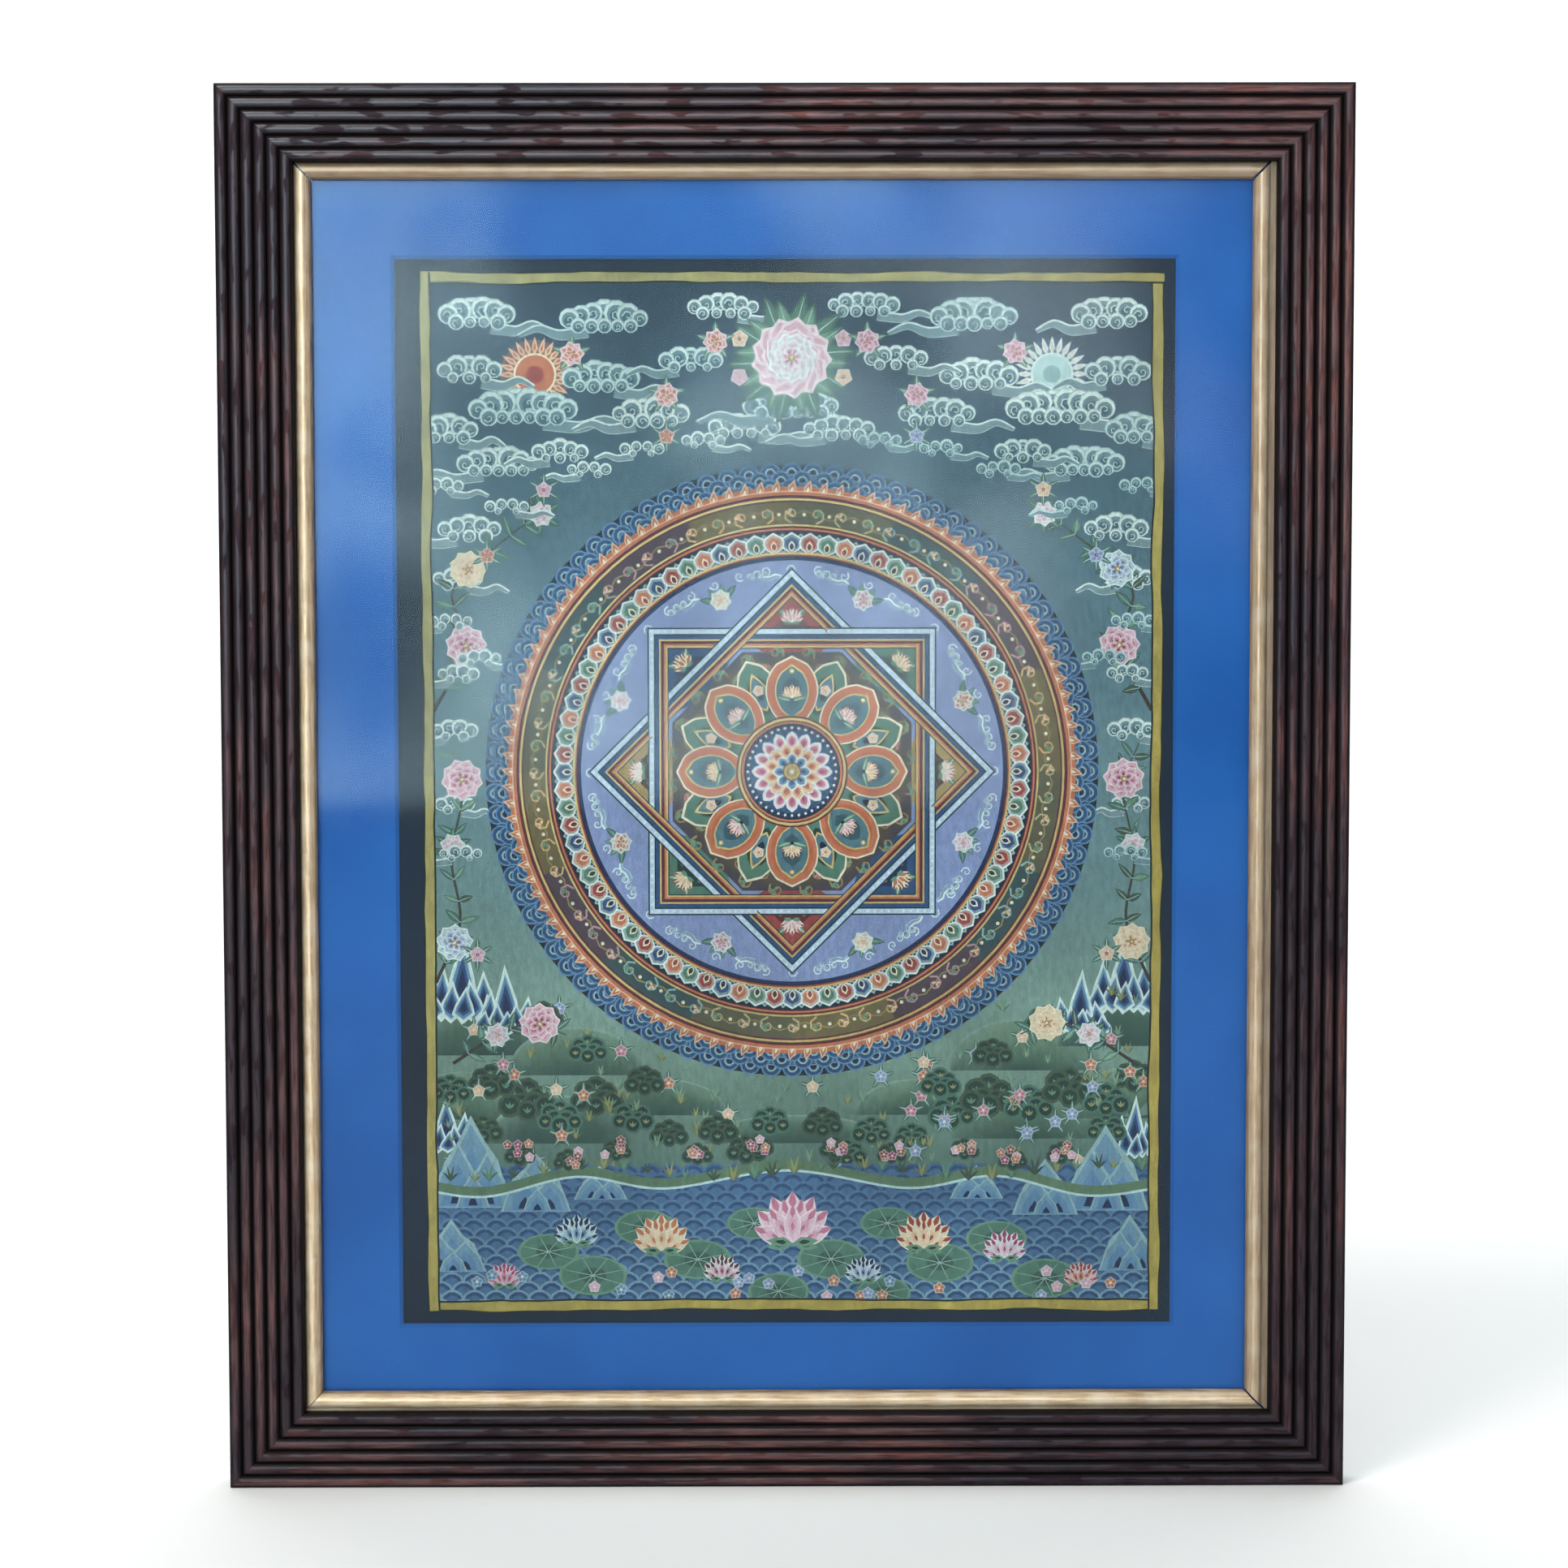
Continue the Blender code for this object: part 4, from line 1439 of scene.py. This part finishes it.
def pond():
    """Waves with rocks, a shore with grass, lily pads, lotuses and flowering banks."""
    rocks = [
        (-156, -204, 40, 42, 1),
        (-124, -206, 34, 28, 2), (158, -206, 42, 40, 3), (128, -208, 32, 26, 4),
        (-166, -236, 34, 24, 5), (170, -236, 30, 26, 6), (-92, -200, 26, 16, 7), (94, -200, 26, 16, 8),
    ]
    shore = curve_points([
        (-190, -190), (-150, -196), (-104, -186), (-60, -192), (0, -183), (60, -192), (104, -186),
        (150, -196), (196, -190),
    ], 8)
    pads = [
        (-70, -214, 9), (-44, -230, 10), (-96, -238, 10), (-16, -212, 8), (22, -230, 10),
        (50, -212, 8), (76, -232, 10), (104, -220, 9), (-118, -226, 9), (-4, -246, 9),
        (128, -240, 10), (48, -247, 8),
    ]
    lotuses = [
        (3, -222, 26, BLUSH, PINK, ROSE), (-62, -226, 19, CREAM, PEACH, ORANGE),
        (68, -225, 19, CREAM, PEACH, RED), (-104, -222, 15, CHALK, SKY_BLUE, INDIGO),
        (108, -230, 15, CHALK, PINK, MAGENTA), (-32, -240, 13, CHALK, ROSE, WINE),
        (38, -241, 13, CHALK, LAVENDER, INDIGO), (-140, -243, 12, BLUSH, ROSE, MAGENTA),
        (146, -243, 12, BLUSH, ORANGE, RED),
    ]
    banks = [
        (-84, -176), (-44, -178), (-14, -174), (24, -175), (52, -178), (88, -176), (-132, -178),
        (136, -178), (-108, -181), (112, -181),
    ]
    parts = [waves(-182, 188, -256, -188, 4), *scattered(rocks, crag)]
    parts.append(stroke(shore, 5.0, pigment(84, 112, 84), pigment(92, 120, 88)))
    parts.append(stroke(shore + np.array([0, -2.6]), 1.2, PALE, PALE))
    draw = random.Random(3)
    for i in range(34):
        x = -176 + i * 10.6 + draw.uniform(-3, 3)
        grass = tuft(draw.uniform(6, 10), (LEAF, MOSS, DRY_GRASS)[i % 3])
        parts.append(moved(grass, (x, -188 + 3 * math.sin(x / 20))))
    parts += scattered(pads, lily_pad) + scattered(lotuses, lotus)
    for i in range(26):
        place = draw.uniform(-160, 168), draw.uniform(-249, -236)
        parts.append(moved(blossom(3.2, (SKY_BLUE, ORANGE, PINK, LAVENDER)[i % 4], CREAM), place))
    for i, (x, y) in enumerate(banks):
        parts.append(moved(bush(6.5, 40 + i), (x, y)))
        for k in range(5):
            flower = blossom(2.6, (RED, ORANGE, MAGENTA, PINK)[(i + k) % 4], CREAM)
            parts.append(moved(flower, (x + draw.uniform(-6, 6), y + draw.uniform(-2, 6))))
    return parts


def side_gardens():
    """Flower sprays and small clouds, much alike on both sides of the wheel."""
    parts = []
    rose, peach = peony(10.5, WINE, ROSE, BLUSH, 9, 1), peony(9.5, RED, PEACH, CREAM, 9, 2)
    violet, small = peony(9.5, PLUM, LAVENDER, CHALK, 9, 3), peony(6.5, MAGENTA, PINK, CHALK, 7, 4)
    for side, high, low, foot in ((-1, peach, violet, rose), (1, violet, peach, peach)):
        def across(places):
            return [(3.5 + side * x, y) for x, y in places]

        def bank(*clouds):
            drawn = [cloud(*sizes, seed + side) for _, *sizes, seed in clouds]
            spots = across([spot for spot, *_ in clouds])
            return joined([moved(one, spot) for one, spot in zip(drawn, spots)])

        parts += [
            bank(((158, 128), 30, 13, 5, 31), ((164, 104), 24, 11, 4, 33)),
            spray(
                across([(176, 42), (160, 74), (166, 102), (138, 128), (120, 140)]),
                [(0.28, rose), (0.62, high), (0.98, small)], 7 + side,
            ),
            bank(((166, 30), 22, 10, 4, 35), ((166, -6), 18, 9, 4, 37), ((164, 58), 20, 9, 4, 38)),
            spray(
                across([(176, -92), (164, -62), (168, -30), (162, 4), (170, 26)]),
                [(0.2, low), (0.55, small), (0.8, rose)], 17 + side, 0.9,
            ),
            spray(
                across([(168, -132), (146, -118), (128, -112), (112, -118)]),
                [(0.35, small), (0.75, foot)], 27 + side, 0.9,
            ),
        ]
    wisps = [
        (-96, 158), (104, 158), (-40, 172), (46, 172), (-164, 84), (170, 84), (-136, 140), (142, 140),
        (-160, -30), (167, -30), (-150, 66), (156, 66), (-168, 150), (174, 150), (-70, 168), (76, 168),
    ]
    posies = [
        (-118, 150), (126, 150), (-146, 118), (152, 118), (-152, -78), (158, -78), (-58, 176), (64, 176),
    ]
    parts += scattered(numbered(wisps), lambda i: cloud(22, 8, 4, 70 + i, (CHALK, PALE)[i % 2]))
    colours = (PINK, PEACH, ORANGE, LAVENDER)
    return parts + scattered(
        numbered(posies), lambda i: posy(6.5, 2.6, 6, 2, blossom(4.2, colours[i % 4], WINE))
    )


def wobble(place, length, seed):
    """Smooth noise between -1 and 1 that changes over that many millimetres."""
    return noise.noise(Vector((*(place / length), seed)))


def border():
    """The dark band round the field and the uneven yellow line inside it."""
    left, right, low, high = FIELD_LEFT - 3, FIELD_RIGHT + 3, FIELD_LOW - 3, FIELD_HIGH + 3
    deep = pigment(20, 40, 62)
    boxes = [(-199, -271, left, 271), (right, -271, 199, 271)]
    boxes += [(left, -271, right, low), (left, high, right, 271)]
    parts = [shape([(x, y), (far, y), (far, up), (x, up)], [(1, deep)]) for x, y, far, up in boxes]
    corners = [(left, low), (right, low), (right, high), (left, high)]
    yellow, pale = pigment(178, 148, 32), pigment(162, 150, 86)
    for i in range(4):
        start, end = np.array(corners[i]), np.array(corners[(i + 1) % 4])
        reach = (end - start) / np.linalg.norm(end - start) * 2.6
        start, end = start - reach, end + reach
        share = np.linspace(0, 1, 60)[:, None]
        line = start * (1 - share) + end * share
        aside = np.array([-(end - start)[1], (end - start)[0]]) / np.linalg.norm(end - start)
        drift = np.array([wobble(p, 34, i) * 0.9 + wobble(p, 9, i) * 0.35 for p in line])
        width = np.array([4.3 + wobble(p, 22, i + 9) * 1.4 + wobble(p, 5, i) * 0.5 for p in line])
        line = line + aside * drift[:, None]
        parts.append(stroke(line, width + 1.9, pigment(34, 40, 34)))
        points, pigments, faces = stroke(line, width, yellow)
        # The yellow is mixed towards a paler yellow by position: most at the upper left, not at all at
        # the lower right.
        worn = [float(np.clip((p[1] - p[0] + 180) / 520, 0, 1)) for p in points]
        uneven = [mixed(yellow, pale, w) * (1 + 0.35 * wobble(p, 6, 2)) for p, w in zip(points, worn)]
        parts.append((points, np.array(uneven), faces))
    return parts


def whole_painting():
    wheel = moved(joined([outer_rings(), flower_ground(), crossed_squares(), hub()]), MIDDLE)
    return [*upper_sky(), *hillside(), *pond(), *side_gardens(), wheel, *border()]


# %% [markdown]
# Tens of thousands of coats lie over each other now, but a cloth has one surface. A Delaunay
# triangulation cuts all coats along each other's outlines. Of each small cell only the topmost
# paint is kept, cells of the same paint are merged by keeping just the seams between colours,
# and a second triangulation fills the seams with as few triangles as it can.

# %% Lay the coats on the cloth
def outline_area(points):
    across, up = points[:, 0], points[:, 1]
    return 0.5 * float(np.dot(across, np.roll(up, -1)) - np.dot(up, np.roll(across, -1)))


def stacked(points, faces):
    """A search tree over the coats, each a hair above the one before."""
    places, polygons = [], []
    for order, face in enumerate(faces):
        polygons.append(range(len(places), len(places) + len(face)))
        places += [(*points[i], order * 1e-3) for i in face]
    return BVHTree.FromPolygons(places, polygons)


def top_paint(tree, x, y):
    return tree.ray_cast(Vector((x, y, 500)), Vector((0, 0, -1)))[2]


ALWAYS_KEPT = 25.0


def showing(points, faces):
    """The large faces, and the others that show at one corner or at their middle at least."""
    tree, kept = stacked(points, faces), set()
    for order, face in enumerate(faces):
        if outline_area(points[face]) > ALWAYS_KEPT:
            kept.add(order)
            continue
        middle = points[face].mean(axis=0)
        for corner in points[face]:
            for share in (0.04, 0.35):
                kept.add(top_paint(tree, *(corner * (1 - share) + middle * share)))
        kept.add(top_paint(tree, *middle))
    return [face for order, face in enumerate(faces) if order in kept]


def paint_numbers(pigments, faces):
    """A number for each face. Flat faces of one colour share theirs."""
    flat = np.array([np.ptp(pigments[face], axis=0).max() < 1e-6 for face in faces])
    first = np.array([face[0] for face in faces])
    colours, group = np.unique(pigments[first[flat]].round(5), axis=0, return_inverse=True)
    numbers = np.arange(len(faces))
    numbers[flat] = len(faces) + group.ravel()
    return numbers


SEAM_SLACK = 0.1


def seams(places, cells, tops):
    """Edges between cells of different paint, without the points along a straight run."""
    owner = {}
    lines = {}
    for cell, top in zip(cells, tops):
        for start, end in zip(cell, cell[1:] + cell[:1]):
            key = (start, end) if start < end else (end, start)
            if key in owner:
                if owner.pop(key) == top:
                    continue
                lines[key] = True
            else:
                owner[key] = top
    lines.update(dict.fromkeys(owner, True))
    near = {}
    for start, end in lines:
        near.setdefault(start, set()).add(end)
        near.setdefault(end, set()).add(start)
    for point in list(near):
        if len(near[point]) == 2:
            one, other = near[point]
            first, second = places[point] - places[one], places[other] - places[point]
            off_line = abs(first.cross(second)) / max((first + second).length, 1e-6)
            if off_line < SEAM_SLACK and first.dot(second) > 0 and other not in near[one]:
                near[one].discard(point)
                near[other].discard(point)
                near[one].add(other)
                near[other].add(one)
                del near[point]
    used = sorted(near)
    index = {point: i for i, point in enumerate(used)}
    edges = [(index[a], index[b]) for a in used for b in near[a] if a < b]
    return [places[point] for point in used], edges


def tops_of(places, cells, sources, points, faces):
    """The topmost coat that reaches over each cell, or None outside the cloth."""
    reach = [(*points[face].min(axis=0), *points[face].max(axis=0)) for face in faces]
    middles = places[cells].mean(axis=1).tolist()
    tops = []
    for (x, y), source in zip(middles, sources):
        top = None
        if 0 in source:
            for index in sorted(source, reverse=True):
                left, low, right, high = reach[index - 1]
                if index and left <= x <= right and low <= y <= high:
                    top = index - 1
                    break
        tops.append(top)
    return tops


def settle(coats, clip):
    """Flattens coats into one layer: points, triangles, and the coat on top of each triangle."""
    points, pigments, faces = joined(coats)
    points = points.round(3)
    solid = []
    for face in faces:
        area = outline_area(points[face])
        if abs(area) > 2e-3:
            solid.append(face if area > 0 else face[::-1])
    solid = showing(points, solid)
    start = len(points)
    where = [Vector(point) for point in [*points.tolist(), *clip]]
    given = [[start + i for i in range(len(clip))], *solid]
    places, _, cells, _, _, sources = delaunay_2d_cdt(where, [], given, 2, 1e-4, True)
    numbers = paint_numbers(pigments, solid)
    tops = tops_of(
        np.array([tuple(place) for place in places]), np.array(cells), sources, points, solid,
    )
    inside = [(cell, numbers[top]) for cell, top in zip(cells, tops) if top is not None]
    ends, lines = seams(places, [pair[0] for pair in inside], [pair[1] for pair in inside])
    places, _, triangles, _, _, _ = delaunay_2d_cdt(ends, lines, [], 1, 1e-5, False)
    places = np.array([tuple(place) for place in places])
    tree, tops = stacked(points, solid), []
    for triangle in triangles:
        found = top_paint(tree, *places[triangle].mean(axis=0))
        tops.append(tops[-1] if found is None else found)
    return places, np.array(triangles), [solid[top] for top in tops], points, pigments


def corner_pigments(places, triangles, coats, points, pigments):
    """The pigment at each corner of each triangle, blended inside the coat that it shows."""
    first = np.array([coat[:3] for coat in coats])
    a, b, c = (points[first[:, i]][:, None] for i in range(3))
    where = places[triangles]
    whole = (b - a)[..., 0] * (c - a)[..., 1] - (b - a)[..., 1] * (c - a)[..., 0]
    whole = np.where(np.abs(whole) < 1e-6, 1e-6, whole)
    share_b = ((where - a)[..., 0] * (c - a)[..., 1] - (where - a)[..., 1] * (c - a)[..., 0]) / whole
    share_c = ((b - a)[..., 0] * (where - a)[..., 1] - (b - a)[..., 1] * (where - a)[..., 0]) / whole
    shares = np.stack([1 - share_b - share_c, share_b, share_c], axis=-1).clip(0, 1)
    shares /= shares.sum(axis=-1, keepdims=True)
    return np.einsum("fcs,fsp->fcp", shares, pigments[first])


# %% [markdown]
# The layout is now cut to the size of the cloth and laid in the frame, where it cockles a
# little, as cloth under glass does. Its edge is carried back a millimetre and closed with plain
# cotton, so the cloth has a thickness. The face takes most of the unwrapped sheet, because its
# fine detail needs the room, and the back and the edge share the rest.

# %% Cut and hem the cloth
COCKLE = 0.00008
PAINT_SETBACK = 0.0001
CLOTH_SIZE = (0.396, 0.5395)
cloth_low, cloth_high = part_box("painted_cloth")
RAW_COTTON = (0.50, 0.44, 0.34, 0.0)


def painted_mesh():
    half = CLOTH_HALF
    clip = [(-half[0], -half[1]), (half[0], -half[1]), (half[0], half[1]), (-half[0], half[1])]
    coats = whole_painting()
    places, triangles, tops, points, pigments = settle(coats, clip)
    colours = corner_pigments(places, triangles, tops, points, pigments)
    print("Painting has", len(triangles), "triangles and", len(places), "points")
    mesh = bpy.data.meshes.new("painting")
    front = cloth_low[1]
    spots = []
    for across, up in places / 1000:
        cockle = COCKLE * noise.noise(Vector((across * 14, up * 11, 1)))
        spots.append((across, front + PAINT_SETBACK + cockle, up + WINDOW_Z))
    mesh.from_pydata(spots, [], triangles.tolist())
    paint = mesh.color_attributes.new("pigment", "FLOAT_COLOR", "CORNER")
    paint.data.foreach_set("color", colours.reshape(-1).astype(np.float32))
    return mesh


def build_cloth():
    """The painted face, with its edge carried back and closed."""
    work = bmesh.new()
    work.from_mesh(painted_mesh())
    painted = set(work.faces)
    paint = work.loops.layers.float_color["pigment"]
    unwrap = work.loops.layers.uv.new("OFBake")
    rim = [edge for edge in work.edges if edge.is_boundary]
    back = bmesh.ops.extrude_edge_only(work, edges=rim)["geom"]
    for vertex in [item for item in back if isinstance(item, bmesh.types.BMVert)]:
        vertex.co.y = cloth_high[1]
    edges = [item for item in back if isinstance(item, bmesh.types.BMEdge)]
    bmesh.ops.holes_fill(work, edges=[edge for edge in edges if edge.is_boundary], sides=0)
    left, low = -CLOTH_SIZE[0] / 2, WINDOW_Z - CLOTH_SIZE[1] / 2
    for face in work.faces:
        at_back = face not in painted and abs(face.normal.y) > 0.9
        for loop in face.loops:
            across = (loop.vert.co.x - left) / CLOTH_SIZE[0]
            up = (loop.vert.co.z - low) / CLOTH_SIZE[1]
            if face not in painted:
                loop[paint] = RAW_COTTON
            across = 0.005 + 0.80 * across if face in painted else 0.83 + 0.15 * across
            if face not in painted and not at_back:
                across = 0.985 + 4 * (loop.vert.co.y - cloth_low[1])
            loop[unwrap].uv = (across, 0.005 + 0.99 * up)
    return work


# %% [markdown]
# The painted face is matt. Ground pigment in hide glue lies a little uneven, the weave of the
# cotton shows through it as a fine bump, and damp has left it slightly cloudy. Gold dust is the
# only part that shines, so the pigment's share of gold steers metal and roughness.

# %% Painted cotton
def painted_cotton():
    cotton = Recipe("painted_cotton")
    paint = cotton.stored("pigment", "Color")
    gold = cotton.stored("pigment", "Alpha")
    cloudy = cotton.noise(cotton.place, 16, 4.0, 0.6)
    grains = cotton.noise(cotton.place, 2400, 2.0, 0.7)
    brushed = cotton.noise(cotton.stretched((1, 1, 0.35)), 420, 3.0, 0.6)
    damp = cotton.spread(cloudy, 0.3, 0.7, 0.84, 1.06)
    shade = cotton.sum(damp, cotton.spread(grains, 0.3, 0.7, 0.80, 1.16), "MULTIPLY")
    shade = cotton.sum(shade, cotton.spread(brushed, 0.3, 0.7, 0.86, 1.1), "MULTIPLY")
    grey = cotton.node("CombineColor", {0: shade, 1: shade, 2: shade})
    colour = cotton.mix(1.0, paint, grey, "MULTIPLY")
    threads = {"Vector": cotton.place, "Scale": 620.0, "Distortion": 0.6}
    warp = cotton.node("TexWave", threads, 1, bands_direction="X")
    weft = cotton.node("TexWave", threads, 1, bands_direction="Z")
    weave = cotton.bump(cotton.sum(warp, weft, "MULTIPLY"), 0.00002)
    relief = cotton.bump(brushed, 0.00001, weave)
    rough = cotton.spread(gold, 0, 0.8, 0.78, 0.36)
    cotton.shader.inputs["Specular IOR Level"].default_value = 0.15
    return cotton.finish(
        colour=colour, rough=rough, metal=cotton.sum(gold, 0.9, "MULTIPLY"), normal=relief,
    )


cloth = piece("painted_cloth_sheet", build_cloth(), painted_cotton(), "painted_cotton", "painted_cloth")
print("Cloth is", CLOTH_SIZE, "m")
